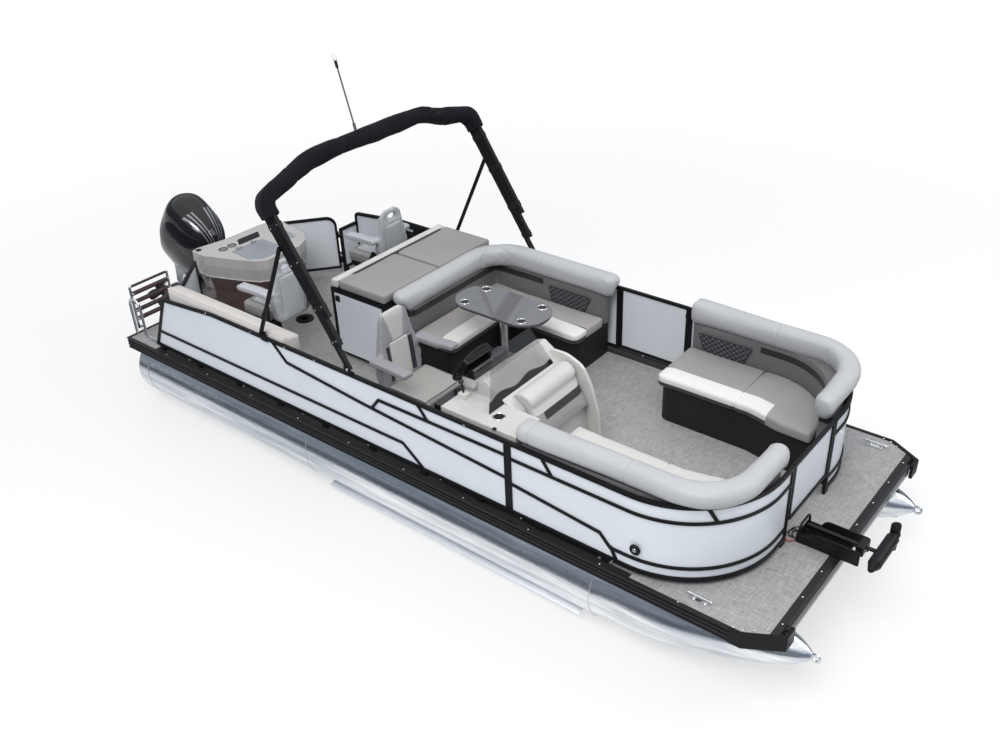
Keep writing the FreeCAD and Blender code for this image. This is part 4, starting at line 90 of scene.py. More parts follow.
# %% Wires that add up, and a material that makes nodes
class Wire:
    """One output socket. Sums and products with numbers or other wires add Math nodes."""

    def __init__(self, finish, socket):
        self.finish, self.socket = finish, socket

    def __add__(self, other): return self.finish.math("ADD", self, other)
    def __radd__(self, other): return self.finish.math("ADD", other, self)
    def __sub__(self, other): return self.finish.math("SUBTRACT", self, other)
    def __rsub__(self, other): return self.finish.math("SUBTRACT", other, self)
    def __mul__(self, other): return self.finish.math("MULTIPLY", self, other)
    def __rmul__(self, other): return self.finish.math("MULTIPLY", other, self)
    def __truediv__(self, other): return self.finish.math("DIVIDE", self, other)
    def __abs__(self): return self.finish.math("ABSOLUTE", self)


class Finish:
    """One material. Constants go on the Principled shader's own sockets."""

    def __init__(self, name, **constants):
        self.material = bpy.data.materials.new(name)
        self.material.use_nodes = True
        self.tree = self.material.node_tree
        self.shader = self.tree.nodes["Principled BSDF"]
        for socket, value in constants.items():
            self.shader.inputs[socket.replace("_", " ")].default_value = value
        self.where = self.add("TexCoord", out="Object")
        split = self.node("SeparateXYZ", {}, {"Vector": self.where})
        self.x, self.y, self.z = (Wire(self, split.outputs[i]) for i in range(3))

    def node(self, kind, settings=None, sockets=None):
        made = self.tree.nodes.new("ShaderNode" + kind)
        for key, value in (settings or {}).items():
            setattr(made, key, value)
        for key, value in (sockets or {}).items():
            if isinstance(value, Wire):
                self.tree.links.new(value.socket, made.inputs[key])
            else:
                made.inputs[key].default_value = value
        return made

    def add(self, kind, settings=None, sockets=None, out=0):
        return Wire(self, self.node(kind, settings, sockets).outputs[out])

    def math(self, operation, a, b=0.0):
        return self.add("Math", {"operation": operation}, {0: a, 1: b})

    def most(self, a, b):
        return self.math("MAXIMUM", a, b)

    def least(self, a, b):
        return self.math("MINIMUM", a, b)

    def clamped(self, value):
        return self.least(self.most(value, 0.0), 1.0)

    def height(self):
        """Metres above the deck."""
        return self.z - DECK_Z

    def cloud(self, scale, detail=3.0, stretch=None, rough=0.5):
        """Soft noise about 0.5, with its scale in lumps a metre."""
        vector = self.where
        if stretch:
            vector = self.add("Mapping", {}, {"Vector": self.where, "Scale": stretch})
        return self.add("TexNoise", {}, {"Vector": vector, "Scale": scale, "Detail": detail, "Roughness": rough})

    def wave(self, direction, scale):
        return self.add("TexWave", {"bands_direction": direction}, {"Vector": self.where, "Scale": scale}, out=1)

    def cells(self, scale, feature="F1"):
        return self.add("TexVoronoi", {"feature": feature}, {"Vector": self.where, "Scale": scale})

    def step(self, value, low, high, soft=0.002):
        """1 where the value lies between low and high, with soft sides."""
        smooth = {"interpolation_type": "SMOOTHSTEP"}
        up = self.add("MapRange", smooth, {0: value, 1: low - soft, 2: low + soft})
        return up * self.add("MapRange", smooth, {0: value, 1: high - soft, 2: high + soft, 3: 1.0, 4: 0.0})

    def between(self, share, low, high):
        """A number that runs from low to high as share goes from 0 to 1."""
        return low + share * (high - low)

    def blend(self, share, first, second):
        return self.add("Mix", {"data_type": "RGBA"}, {0: share, 6: first, 7: second}, out=2)

    def mottled(self, share, tone, low, high=1.0):
        """One tone, between a darker and a lighter shade of it."""
        return self.blend(share, shade(tone, low), shade(tone, high))

    def facing(self, axis):
        """How far the surface faces one way, from -1 to 1."""
        normal = self.add("TexCoord", out="Normal")
        return self.add("VectorMath", {"operation": "DOT_PRODUCT"}, {0: normal, 1: axis}, out="Value")

    def raise_by(self, height, metres, strength=1.0):
        """Bump: the height wire, from 0 to 1, stands for so many metres."""
        bump = self.add("Bump", {}, {"Height": height, "Distance": metres, "Strength": strength})
        return self.paint(Normal=bump)

    def paint(self, **wires):
        """Links wires to the shader. Three values in brackets are a share, and what it runs between."""
        for socket, wire in wires.items():
            wire = self.between(*wire) if isinstance(wire, tuple) else wire
            self.tree.links.new(wire.socket, self.shader.inputs[socket.replace("_", " ")])
        return self

    def cover(self, piece):
        """The piece's only material is this one."""
        piece.data.materials.clear()
        piece.data.materials.append(self.material)

# %% [markdown]
# ## Metals
#
# Rolled aluminium is brushed along its length, so its noise is stretched that way and feeds both
# the roughness and a very shallow bump. Powder coat is a satin paint with an orange-peel skin.
# Polished stainless needs little more than a low roughness and something to reflect.

# %% Metal finishes
def aluminium(name, tone, stretch=(0.6, 14.0, 14.0), rough=(0.26, 0.44)):
    m = Finish(name, Metallic=1.0)
    brush = m.cloud(38.0, 5.0, stretch)
    patch = m.cloud(1.3, 3.0)
    stain = m.cloud(7.0, 6.0, (0.4, 1.0, 1.6))
    m.paint(Base_Color=m.mottled(brush * 0.45 + patch * 0.55, tone, 0.82, 1.06),
            Roughness=(brush * 0.6 + stain * 0.4, *rough))
    return m.raise_by(brush, 0.0006, 0.5)


def powder_coat(name, tone, rough=0.38):
    m = Finish(name, Specular_IOR_Level=0.16)
    peel = m.cloud(420.0, 2.0)
    wear = m.cloud(3.0, 5.0)
    m.paint(Base_Color=m.blend(wear, shade(tone, 0.8), shade(tone, 1.35, 0.004)),
            Roughness=(wear, rough - 0.07, rough + 0.1))
    return m.raise_by(peel, 0.0004, 0.35)


def polished(name, tone=0.82):
    m = Finish(name, Metallic=1.0)
    smear = m.cloud(11.0, 4.0)
    m.paint(Base_Color=m.blend(smear, grey(tone * 0.9), grey(tone)), Roughness=(smear, 0.08, 0.2))
    return m.raise_by(m.cloud(60.0, 2.0), 0.0002, 0.2)

# %% [markdown]
# ## Mouldings, panels and vinyl
#
# The fence panels are thin enamelled sheet, which is never quite flat, so a wide shallow wave
# moves their reflections. Gelcoat mouldings are glossy with a clear coat. Marine vinyl has a fine
# pebble grain from cells, broader creases from noise, and a dull sheen.

# %% Plastics, enamel, gelcoat and vinyl
def enamel(name, tone):
    m = Finish(name, Specular_IOR_Level=0.5)
    wave = m.cloud(1.6, 2.0, (1.0, 1.0, 0.7))
    film = m.cloud(5.0, 5.0)
    m.paint(Base_Color=m.blend(wave * 0.6 + film * 0.4, shade(tone, 0.88), rgb(*tone)),
            Roughness=(film, 0.16, 0.3))
    return m.raise_by(wave, 0.012, 0.35)


def gelcoat(name, tone, rough=0.22):
    m = Finish(name, Coat_Roughness=0.08)
    film = m.cloud(4.0, 5.0)
    skin = m.cloud(90.0, 2.0)
    m.paint(Base_Color=m.mottled(film, tone, 0.9, 1.04),
            Roughness=(film, rough - 0.05, rough + 0.1), Coat_Weight=(film, 0.35, 0.6))
    return m.raise_by(skin, 0.0006, 0.25)


def plastic(name, tone, rough=0.42, grain=260.0):
    m = Finish(name, Specular_IOR_Level=0.22)
    pebble = m.cells(grain)
    dust = m.cloud(6.0, 5.0)
    m.paint(Base_Color=m.blend(dust, shade(tone, 0.75), shade(tone, 1.3, 0.004)),
            Roughness=(dust, rough - 0.06, rough + 0.12))
    return m.raise_by(pebble, 0.0006, 0.35)


def vinyl_skin(m, colour, rough=0.46, depth=0.0009):
    """The grain, creases and dull sheen that every vinyl shares."""
    pebble = m.cells(330.0)
    crease = m.cloud(9.0, 5.0, rough=0.6)
    m.paint(Base_Color=colour, Roughness=(crease, rough - 0.08, rough + 0.12))
    return m.raise_by(pebble * 0.25 + crease * 0.9, depth * 8, 0.35)


def vinyl(name, tone, rough=0.46):
    m = Finish(name, Sheen_Weight=0.08)
    patch = m.cloud(2.5, 4.0)
    colour = m.mottled(patch, tone, 0.9, 1.06)
    return vinyl_skin(m, colour, rough)


def quilted(name, tone):
    """Vinyl sewn in diamonds about 45 mm wide, with lighter thread along the sewing."""
    m = Finish(name, Sheen_Weight=0.06)
    step = 0.045
    dome = 1.0
    for slope in (1.0, -1.0):
        t = m.math("FRACT", ((m.x + m.y) * 0.8 + m.z * slope) / step)
        line = abs(t - 0.5) * 2.0
        dome = (1.0 - line * line) * dome
    colour = m.blend(m.least(dome * 3.5, 1.0), shade(tone, 7.0), rgb(*tone))
    m.paint(Base_Color=colour, Roughness=(dome, 0.6, 0.42))
    return m.raise_by(dome, 0.008, 0.8)

# %% [markdown]
# ## Cloths and the floor
#
# The deck is covered with woven vinyl: two sets of flat yarns that cross, each yarn a slightly
# different grey. Two noises stretched at right angles give the streaks, and two waves the weave.
# Outside the fence the deck edge is capped with black.
# The canopy's cover is a plain-weave acrylic, almost black with a hint of navy.

# %% Woven finishes
def woven_floor(name, low, high):
    m = Finish(name)
    warp = m.cloud(1.0, 2.0, (12.0, 260.0, 1.0))
    weft = m.cloud(1.0, 2.0, (260.0, 12.0, 1.0))
    patch = m.cloud(1.1, 4.0)
    yarn = warp * 0.5 + weft * 0.5
    share = (yarn - 0.5) * 3.2 + 0.5 + (patch - 0.5) * 0.5
    off = abs(m.y)
    outside = m.step(off, 1.165, 2.0) * m.step(m.x, x_at(0.40), x_at(5.46))
    rim = m.most(m.step(m.x, x_at(6.728), 9.0), m.step(off, 1.262, 2.0))
    corner = m.step(off, 1.222, 2.0) * m.step(m.x, x_at(5.4), x_at(5.74))
    outside = m.most(outside, m.most(rim, corner))
    m.paint(Base_Color=m.blend(outside, m.blend(share, rgb(*low), rgb(*high)), JET),
            Roughness=(yarn, 0.62, 0.8))
    return m.raise_by(m.wave("X", 48.0) * 0.5 + m.wave("Y", 48.0) * 0.5, 0.0012, 0.5)


def canvas(name, tone):
    m = Finish(name, Sheen_Weight=0.03, Specular_IOR_Level=0.12)
    threads = m.wave("X", 260.0) + m.wave("Y", 260.0) + m.wave("Z", 260.0)
    lint = m.cloud(5.0, 6.0)
    fold = m.cloud(7.0, 3.0, (1.0, 1.0, 2.2))
    m.paint(Base_Color=m.mottled(lint, tone, 0.7, 1.7), Roughness=(lint, 0.66, 0.86))
    return m.raise_by(threads * 0.05 + fold, 0.012, 0.5)

# %% [markdown]
# ## A finish for every solid
#
# The solids that keep their own shape only need a better surface. Some of them change with height
# or place. The stern console is beige above its moulded line and bronze-brown below it, the
# windscreen stands in a black foot, the bow channel is bare metal along its lower edge, and the
# table has a dark edge. One finish that knows where it is serves each of them.

# %% Finishes that change with place
MOULD_LINE = 0.478


def two_tone_console(name):
    """Beige above the moulded line, bronze-brown below it, and a pale line between."""
    m = Finish(name, Coat_Roughness=0.08)
    film = m.cloud(4.0, 5.0)
    top = m.blend(film, rgb(0.40, 0.385, 0.372), rgb(0.48, 0.463, 0.45))
    low = m.blend(film, rgb(0.050, 0.032, 0.029), rgb(0.085, 0.056, 0.050))
    height = m.height()
    lower = m.step(height, -1.0, MOULD_LINE, 0.004)
    line = m.step(height, MOULD_LINE + 0.001, MOULD_LINE + 0.016, 0.003)
    colour = m.blend(line, m.blend(lower, top, low), rgb(0.74, 0.71, 0.67))
    m.paint(Base_Color=colour, Roughness=(film, 0.2, 0.36), Coat_Weight=(film, 0.3, 0.5))
    return m.raise_by(m.cloud(80.0, 2.0), 0.0006, 0.25)


def smoked(name):
    """Smoked glass over a black foot whose edge waves a little."""
    m = Finish(name, Specular_IOR_Level=0.12)
    film = m.cloud(6.0, 4.0)
    black = m.step(m.height() - m.wave("Y", 0.9) * 0.022, -1.0, 0.752, 0.003)
    m.paint(Base_Color=m.blend(black, rgb(0.06, 0.065, 0.07), JET),
            Roughness=(film, 0.04, 0.12), Alpha=(black, 0.20, 1.0))
    return m


def channel_finish(name):
    """Black coat above, bare metal along its lower edge."""
    m = Finish(name)
    brush = m.cloud(40.0, 4.0, (14.0, 0.6, 14.0))
    bare = m.step(m.height(), -1.0, -0.052, 0.002)
    m.paint(Base_Color=m.blend(bare, rgb(0.009, 0.009, 0.010), rgb(0.30, 0.31, 0.33)),
            Metallic=bare, Roughness=(brush, 0.28, 0.46))
    return m.raise_by(brush, 0.0006, 0.4)


def pontoon_metal(name):
    """Rolled sheet, brushed along its length, with bright and blue-grey patches of painted reflection in its colour.
    """
    m = Finish(name, Metallic=1.0)
    brush = m.cloud(38.0, 5.0, (0.35, 14.0, 14.0))
    streak_and_painted_reflection = m.cloud(2.6, 6.0, (0.45, 3.0, 7.0), 0.62)
    patch = m.cloud(0.5, 3.0, (1.0, 2.0, 2.5))
    # Painted reflection: this mask mixes blue-grey patches, for a dark surround mirrored in the tube, with near-white
    # ones for the white floor.
    share = m.clamped((patch * 0.55 + streak_and_painted_reflection * 0.6 - 0.44) * 3.2)
    m.paint(Base_Color=m.blend(share, rgb(0.38, 0.43, 0.49), rgb(0.93, 0.94, 0.95)),
            Roughness=(brush * 0.5 + streak_and_painted_reflection * 0.5, 0.08, 0.24))
    return m.raise_by(brush * 0.3 + streak_and_painted_reflection, 0.0035, 0.35)


def table_finish(name):
    """Grey moulded top: dark bevelled edge, and two shallow lines across near its ends."""
    m = Finish(name, Coat_Roughness=0.04)
    film = m.cloud(4.0, 5.0)
    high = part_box("table_top")[1].z
    edge = m.step(m.z, 0.0, high - 0.006, 0.0015)
    middle = (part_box("table_top")[0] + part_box("table_top")[1]) / 2
    away = abs(m.x - middle.x) - abs(m.y - middle.y) * 0.35
    line = m.step(away, 0.185, 0.190, 0.002)
    top = m.blend(film, rgb(0.135, 0.134, 0.14), rgb(0.165, 0.163, 0.17))
    m.paint(Base_Color=m.blend(m.most(edge, line), top, rgb(0.085, 0.084, 0.088)),
            Roughness=(film, 0.08, 0.16), Coat_Weight=(film, 0.7, 1.0))
    return m.raise_by(1.0 - line, 0.002, 0.6)

# %% [markdown]
# ## Ribs and treads
#
# The rub rail and the treads of the ladder are grooved along their length. The grooves are too
# fine to model, so a saw-tooth of height or of width gives the bump; on the rub rail the grooves also get painted
# shade.

# %% Grooved finishes
def ribbed(name):
    """Black rub rail with grooves along it, drawn by height on its outer face, with painted shade darkening the
    grooves.
    """
    m = Finish(name, Specular_IOR_Level=0.35)
    dust = m.cloud(6.0, 5.0)
    t = m.math("FRACT", m.height() / 0.0185)
    rib = m.least(abs(t - 0.5) * 5.0, 1.0)
    side = m.step(abs(m.facing((0, 0, 1))), -1.0, 0.6, 0.05)
    crest = m.blend(dust, rgb(0.008, 0.008, 0.009), rgb(0.013, 0.013, 0.015))
    # Painted shade: the grooves get a darker colour than the crests between them.
    m.paint(Base_Color=m.blend(rib, rgb(0.0035, 0.0035, 0.004), crest), Roughness=(dust, 0.34, 0.52))
    return m.raise_by(rib * side, 0.006, 0.9)


def treads(name):
    """Chrome rails at the sides of the ladder, brown ribbed treads between them."""
    m = Finish(name)
    smear = m.cloud(11.0, 4.0)
    low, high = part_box("boarding_ladder")
    away = abs(m.y - (low.y + high.y) / 2)
    tread = m.step(away, -1.0, (high.y - low.y) / 2 - 0.028, 0.001)
    rib = m.math("FRACT", m.y / 0.012)
    m.paint(Base_Color=m.blend(tread, m.blend(smear, grey(0.74), grey(0.84)), rgb(0.035, 0.014, 0.012)),
            Metallic=1.0 - tread, Roughness=m.between(tread, 0.12, 0.42) + smear * 0.08)
    return m.raise_by(rib * tread, 0.003, 0.7)

# %% [markdown]
# ## The outboard
#
# The motor is tilted up, but its stripes and seams follow its own leg. So its finishes first turn
# the place of a point back by the tilt, and then measure along the leg, as if it hung upright.

# %% Finishes of the outboard
MOTOR_TILT, MOTOR_PIVOT = math.radians(35.0), at(-0.530, 0.0, -0.060)


def motor_frame(m):
    """Places on the tilted motor: ahead of its pivot, to port, and up its own leg."""
    c, s, start = math.cos(MOTOR_TILT), math.sin(MOTOR_TILT), MOTOR_PIVOT
    x, z = m.x - start.x, m.z - start.z
    return x * c - z * s, m.y, x * s + z * c


def cowl_finish(name):
    """Gloss black, with silver flares that run to points down the front, and satin lower sides."""
    m = Finish(name, Coat_Roughness=0.03, Specular_IOR_Level=0.2)
    film = m.cloud(5.0, 4.0)
    x, y, z = motor_frame(m)
    out = abs(y)
    flare = 0.0
    share = m.clamped((0.03 - x) / 0.40)
    for near_y, far_y in ((0.026, 0.080), (0.050, 0.128), (0.076, 0.176)):
        off = abs(out - (near_y + share * (far_y - near_y)))
        flare = m.most(flare, m.step(share * 0.010 + 0.003 - off, 0.0, 1.0, 0.0012))
    flare = flare * m.step(x, -0.36, 0.035, 0.006) * m.step(z, 0.50, 1.0, 0.02)
    flank, rise = m.step(out, 0.12, 1.0, 0.01), z + x * 0.22
    panel, seam = m.step(rise, 0.0, 0.40, 0.002) * flank, m.step(rise, 0.396, 0.404, 0.0015) * flank
    dark = m.blend(film, rgb(0.0045, 0.0045, 0.005), rgb(0.008, 0.008, 0.009))
    colour = m.blend(flare, m.blend(panel, dark, rgb(0.022, 0.023, 0.026)), rgb(0.26, 0.26, 0.275))
    m.paint(Base_Color=m.blend(seam, colour, grey(0.002)), Metallic=flare * 0.6,
            Roughness=m.between(panel, 0.12, 0.30) + film * 0.08, Coat_Weight=(panel, 0.5, 0.15))
    return m.raise_by(flare - seam, 0.010, 0.8)


def skirt_finish(name):
    m = Finish(name, Coat_Roughness=0.1, Coat_Weight=0.3)
    film = m.cloud(5.0, 4.0)
    x, y, z = motor_frame(m)
    low = m.step(z, -2.0, 0.150, 0.003)
    upper = m.blend(film, rgb(0.10, 0.115, 0.135), rgb(0.14, 0.155, 0.18))
    m.paint(Base_Color=m.blend(low, rgb(0.055, 0.060, 0.068), upper), Roughness=(film, 0.26, 0.4))
    return m.raise_by(1.0 - m.step(z, 0.147, 0.153, 0.0015), 0.004, 0.6)

# %% [markdown]
# ## Helm, lever and light pole
#
# These are single solids of two or three colours. A step of height or of length divides them, as
# masking tape would.

# %% Finishes divided by height
def helm_finish(name):
    """Ivory moulding with a black binnacle over the wheel."""
    m = Finish(name, Coat_Roughness=0.08)
    film = m.cloud(4.0, 5.0)
    low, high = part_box("helm_console")
    dash = m.step(m.height(), 0.838, 2.0, 0.003) * m.step(m.x, low.x - 0.2, low.x + 0.205, 0.003)
    column = m.step(m.x, -9.0, low.x + 0.075, 0.003) * m.step(m.height(), 0.652, 2.0, 0.003)
    dark = m.most(dash, column)
    m.paint(Base_Color=m.blend(dark, m.blend(film, rgb(0.46, 0.45, 0.435), rgb(0.54, 0.53, 0.515)), JET),
            Roughness=(film, 0.2, 0.34), Coat_Weight=(film, 0.35, 0.6))
    return m.raise_by(m.cloud(90.0, 2.0), 0.0006, 0.25)


def lever_finish(name):
    """Ivory housing below, black lever above."""
    m = Finish(name, Coat_Weight=0.3)
    film = m.cloud(6.0, 4.0)
    house = m.step(m.height(), 0.0, 0.7445, 0.001)
    m.paint(Base_Color=m.blend(house, rgb(0.007, 0.007, 0.008), rgb(0.60, 0.585, 0.56)),
            Roughness=(film, 0.25, 0.4))
    return m.raise_by(film, 0.001, 0.2)


def lamp_finish(name):
    """Thin grey staff, black cone collar, white lamp on top."""
    m = Finish(name, Coat_Weight=0.2)
    film = m.cloud(6.0, 4.0)
    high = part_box("light_pole")[1].z
    collar = m.step(m.z, high - 0.125, high - 0.062, 0.002)
    lamp = m.step(m.z, high - 0.062, high + 1.0, 0.002)
    colour = m.blend(lamp, m.blend(collar, rgb(0.10, 0.10, 0.105), rgb(0.008, 0.008, 0.008)), rgb(0.75, 0.75, 0.74))
    m.paint(Base_Color=colour, Roughness=(film, 0.22, 0.36))
    return m.raise_by(film, 0.001, 0.2)

# %% [markdown]
# ## Which solid gets which finish
#
# The finishes have names of their own, so trim made later can share them. The table lists the
# solids under their finish, and the loop puts each on its solids.

# %% Finishes by name, and the solids they go to
tube_metal = pontoon_metal("tube_metal")
strake_metal = aluminium("strake_metal", (0.88, 0.90, 0.93), rough=(0.45, 0.6))
mill_metal = aluminium("mill_metal", (0.56, 0.57, 0.59), (6.0, 6.0, 6.0), (0.4, 0.6))
leg_metal = aluminium("leg_metal", (0.72, 0.72, 0.73), (12.0, 12.0, 0.6), (0.2, 0.32))
black_coat = powder_coat("black_coat", (0.0065, 0.0065, 0.0075))
black_gloss = powder_coat("black_gloss", (0.005, 0.005, 0.006), 0.16)
grey_coat = powder_coat("grey_coat", (0.045, 0.048, 0.054), 0.34)
chrome = polished("chrome")
panel_white = enamel("panel_white", (0.72, 0.75, 0.79))
black_plastic = plastic("black_plastic", (0.007, 0.007, 0.008))
black_rubber = plastic("black_rubber", (0.007, 0.007, 0.008), 0.5, 140.0)
lid_grey = plastic("lid_grey", (0.24, 0.25, 0.275), 0.4, 200.0)
base_brown = plastic("base_brown", (0.012, 0.011, 0.0105), 0.5, 180.0)
ivory_gel = gelcoat("ivory_gel", (0.60, 0.585, 0.56))
table_gel = table_finish("table_gel")
stern_gel = two_tone_console("stern_gel")
screen_smoke = smoked("screen_smoke")
bow_metal = channel_finish("bow_metal")
floor_weave = woven_floor("floor_weave", (0.175, 0.174, 0.174), (0.40, 0.398, 0.397))
boot_canvas = canvas("boot_canvas", (0.0045, 0.005, 0.0075))
ivory_vinyl = vinyl("ivory_vinyl", (0.60, 0.59, 0.575))
light_vinyl = vinyl("light_vinyl", (0.43, 0.435, 0.445))
warm_vinyl = vinyl("warm_vinyl", (0.28, 0.272, 0.268))
mid_vinyl = vinyl("mid_vinyl", (0.13, 0.128, 0.130))
cover_vinyl = vinyl("cover_vinyl", (0.55, 0.52, 0.495))
fish_vinyl = vinyl("fish_vinyl", (0.42, 0.43, 0.45))
quilt_dark = quilted("quilt_dark", (0.022, 0.022, 0.025))

FINISH_OF = {
    tube_metal: ("pontoons",), mill_metal: ("deck_frame", "motor_pod"), bow_metal: ("bow_channel",),
    floor_weave: ("deck",), ribbed("rub_ribs"): ("rub_rails",), leg_metal: ("table_leg",),
    black_coat: ("corner_castings", "fence_frames", "cabinet", "port_gate_frame", "bow_gate_frame",
                 "stern_gate_frame", "chair_pedestals", "bimini_mounts", "bimini_arch",
                 "bimini_brace_starboard", "bimini_brace_port", "outboard_clamp_bracket",
                 "outboard_swivel_bracket", "trolling_motor_base", "trolling_motor_unit"),
    panel_white: ("fence_panels", "port_gate_panel", "bow_gate_panel", "stern_gate_panel", "cabinet_door"),
    chrome: ("cleats", "ladder_fittings"), treads("ladder_treads"): ("boarding_ladder",),
    stern_gel: ("stern_console",),
    lid_grey: ("livewell_lid",), base_brown: ("lounge_bases",), table_gel: ("table_top",),
    helm_finish("helm_gel"): ("helm_console",), screen_smoke: ("windscreen",),
    lever_finish("lever_gel"): ("throttle_lever",), lamp_finish("lamp_gel"): ("light_pole",),
    black_plastic: ("steering_wheel", "helm_chair_frame", "port_chair_frame",
                    "starboard_chair_frame", "trolling_motor_bracket", "trolling_motor_shaft",
                    "trolling_propeller", "foot_pedal"),
    grey_coat: ("outboard_leg",), skirt_finish("skirt_gel"): ("outboard_skirt",),
    cowl_finish("cowl_gel"): ("outboard_cowl",),
    black_gloss: ("outboard_propeller",), boot_canvas: ("bimini_boot",),
    ivory_vinyl: ("console_pads", "helm_chair_cushions"), light_vinyl: ("lounge_bolsters",),
    warm_vinyl: ("lounge_seats", "cabinet_pads"), mid_vinyl: ("lounge_backs",),
    cover_vinyl: ("side_cover_pad",), fish_vinyl: ("port_chair_cushions", "starboard_chair_cushions"),
}
for finish, names in FINISH_OF.items():
    for name in names:
        finish.cover(NODES[name])
print("finished", sum(len(names) for names in FINISH_OF.values()), "solids")

# %% [markdown]
# ## Making pieces
#
# Every new piece is a mesh whose object stays at the origin. A piece rides on a body of the
# frame, takes the finish it is given, and may stand for a solid that is then not shown.

# %% From meshes and solids to finished pieces
def link_mesh(name, mesh, smooth=True):
    made = bpy.data.objects.new(name, mesh)
    bpy.context.scene.collection.objects.link(made)
    if smooth:
        mesh.shade_smooth()
    return made


def dress(piece, body, slot, finish, *stands_for):
    finish.cover(piece)
    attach(piece, body)
    if stands_for:
        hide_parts(*stands_for)
    return piece


def solids_of(node):
    """Each separate solid of a CAD node as a welded bmesh, in order of X and then Y."""
    whole = bmesh.new()
    whole.from_mesh(NODES[node].data)
    bmesh.ops.remove_doubles(whole, verts=whole.verts, dist=0.00002)
    left = set(whole.verts)
    found = []
    while left:
        group, edge = set(), [left.pop()]
        while edge:
            v = edge.pop()
            group.add(v)
            for e in v.link_edges:
                o = e.other_vert(v)
                if o in left:
                    left.discard(o)
                    edge.append(o)
        found.append(group)
    made = []
    for group in found:
        part = bmesh.new()
        new = {v: part.verts.new(v.co) for v in group}
        for f in whole.faces:
            if f.verts[0] in group:
                part.faces.new([new[v] for v in f.verts])
        middle = sum((v.co for v in part.verts), Vector()) / len(part.verts)
        made.append((round(middle.x, 3), round(middle.y, 3), part))
    whole.free()
    return [part for x, y, part in sorted(made, key=lambda row: row[:2])]


def applied(piece):
    """The piece with its modifiers baked into its mesh."""
    graph = bpy.context.evaluated_depsgraph_get()
    mesh = bpy.data.meshes.new_from_object(piece.evaluated_get(graph), depsgraph=graph)
    piece.modifiers.clear()
    piece.data = mesh
    return piece

# %% [markdown]
# ## Cushions
#
# A boat seat is foam under tight vinyl. Its form comes from the solid that carries its name: the
# solid is rebuilt as an even grid, drawn in a little, and then blown up for twenty frames as a
# cloth bag under pressure. No point may move farther than a cap, so the bag fills out between its
# corners and keeps its outline. Seams come afterwards, as grooves pressed into the skin.

# %% Blowing up the cushions, all in one simulation
WAITING = []
CLOTH_FRAMES = 20
CLOTH = {"quality": 3, "use_pressure": True, "uniform_pressure_force": 4.0, "tension_stiffness": 12.0,
         "compression_stiffness": 12.0, "bending_stiffness": 0.6}


def points_of(mesh):
    return np.array([v.co for v in mesh.vertices])


def move_points(mesh, places):
    mesh.vertices.foreach_set("co", places.astype(np.float32).ravel())
    mesh.update()


def bag(name, part, voxel, cap, shrink=0.004):
    """A closed even mesh of a solid, drawn in by shrink, waiting for the air."""
    mesh = bpy.data.meshes.new(name)
    part.to_mesh(mesh)
    part.free()
    piece = link_mesh(name, mesh)
    remesh = piece.modifiers.new("even", "REMESH")
    remesh.mode = "VOXEL"
    remesh.voxel_size = voxel
    smooth = piece.modifiers.new("soften", "SMOOTH")
    smooth.factor = 0.5
    smooth.iterations = 3
    applied(piece)
    for v, n in [(v, v.normal.copy()) for v in piece.data.vertices]:
        v.co -= n * shrink
    WAITING.append((piece, cap))
    return piece


def blow_up():
    """One cloth run for every waiting cushion; the cap keeps each in its place."""
    runs = [(piece, cap, points_of(piece.data)) for piece, cap in WAITING]
    for piece, cap, rest in runs:
        cloth = piece.modifiers.new("air", "CLOTH")
        for key, value in CLOTH.items():
            setattr(cloth.settings, key, value)
        cloth.settings.effector_weights.gravity = 0.0
        cloth.collision_settings.use_collision = False
        cloth.point_cache.frame_end = CLOTH_FRAMES
    for frame_number in range(1, CLOTH_FRAMES + 1):
        bpy.context.scene.frame_set(frame_number)
    for piece, cap, rest in runs:
        step = points_of(applied(piece).data) - rest
        length = np.linalg.norm(step, axis=1, keepdims=True)
        move_points(piece.data, rest + step * np.minimum(1.0, cap / np.maximum(length, 1e-9)))
        print(piece.name, "points", len(rest), "moved", round(float(np.minimum(length, cap).max()), 4))
    bpy.context.scene.frame_set(1)


def finer(piece):
    """One level of subdivision, applied."""
    divide = piece.modifiers.new("fine", "SUBSURF")
    divide.levels = divide.render_levels = 1
    return applied(piece)


def grooved(piece, rules):
    """Presses seams into the skin. A rule gives the distance from the seam, its half width and depth."""
    co = points_of(piece.data)
    normal = np.array([v.normal for v in piece.data.vertices])
    press = np.zeros(len(co))
    for distance, half, deep in rules:
        press = np.maximum(press, deep * np.exp(-(distance(co) / half) ** 2))
    move_points(piece.data, co - normal * press[:, None])
    return piece

# %% [markdown]
# ## Lounge seats
#
# Each seat pad is sewn from three vinyls: a warm grey top, a near-white roll along the edge where
# the legs rest, and a dark front below it. The colours follow the distance from that edge, so one
# finish serves one pad. A dark welt cord runs where the roll meets the top.

# %% Sizes shared by the lounges, read from the solids
SEAT_TOP_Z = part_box("lounge_seats")[1].z
ROLL_WIDE, ROLL_LOW = 0.165, 0.055
L_FRONT_X, L_IN_Y, L_STBD_Y, L_FORE_X = x_at(3.2098), 0.610, -0.140, x_at(4.0100)
BOW_IN_Y, BOW_CUT_X, BOW_NOSE_X, BOW_NOSE_Y = 0.462, x_at(5.700), x_at(5.990), 0.400
WHITE, SKIRT_TONE = (0.70, 0.69, 0.67), (0.035, 0.034, 0.035)


def edge_distance(x, y, line):
    """Distance of a point from the line through two plan points, positive on its left."""
    (ax, ay), (bx, by) = line
    long = math.hypot(bx - ax, by - ay)
    return (x - ax) * (-(by - ay) / long) + (y - ay) * ((bx - ax) / long)


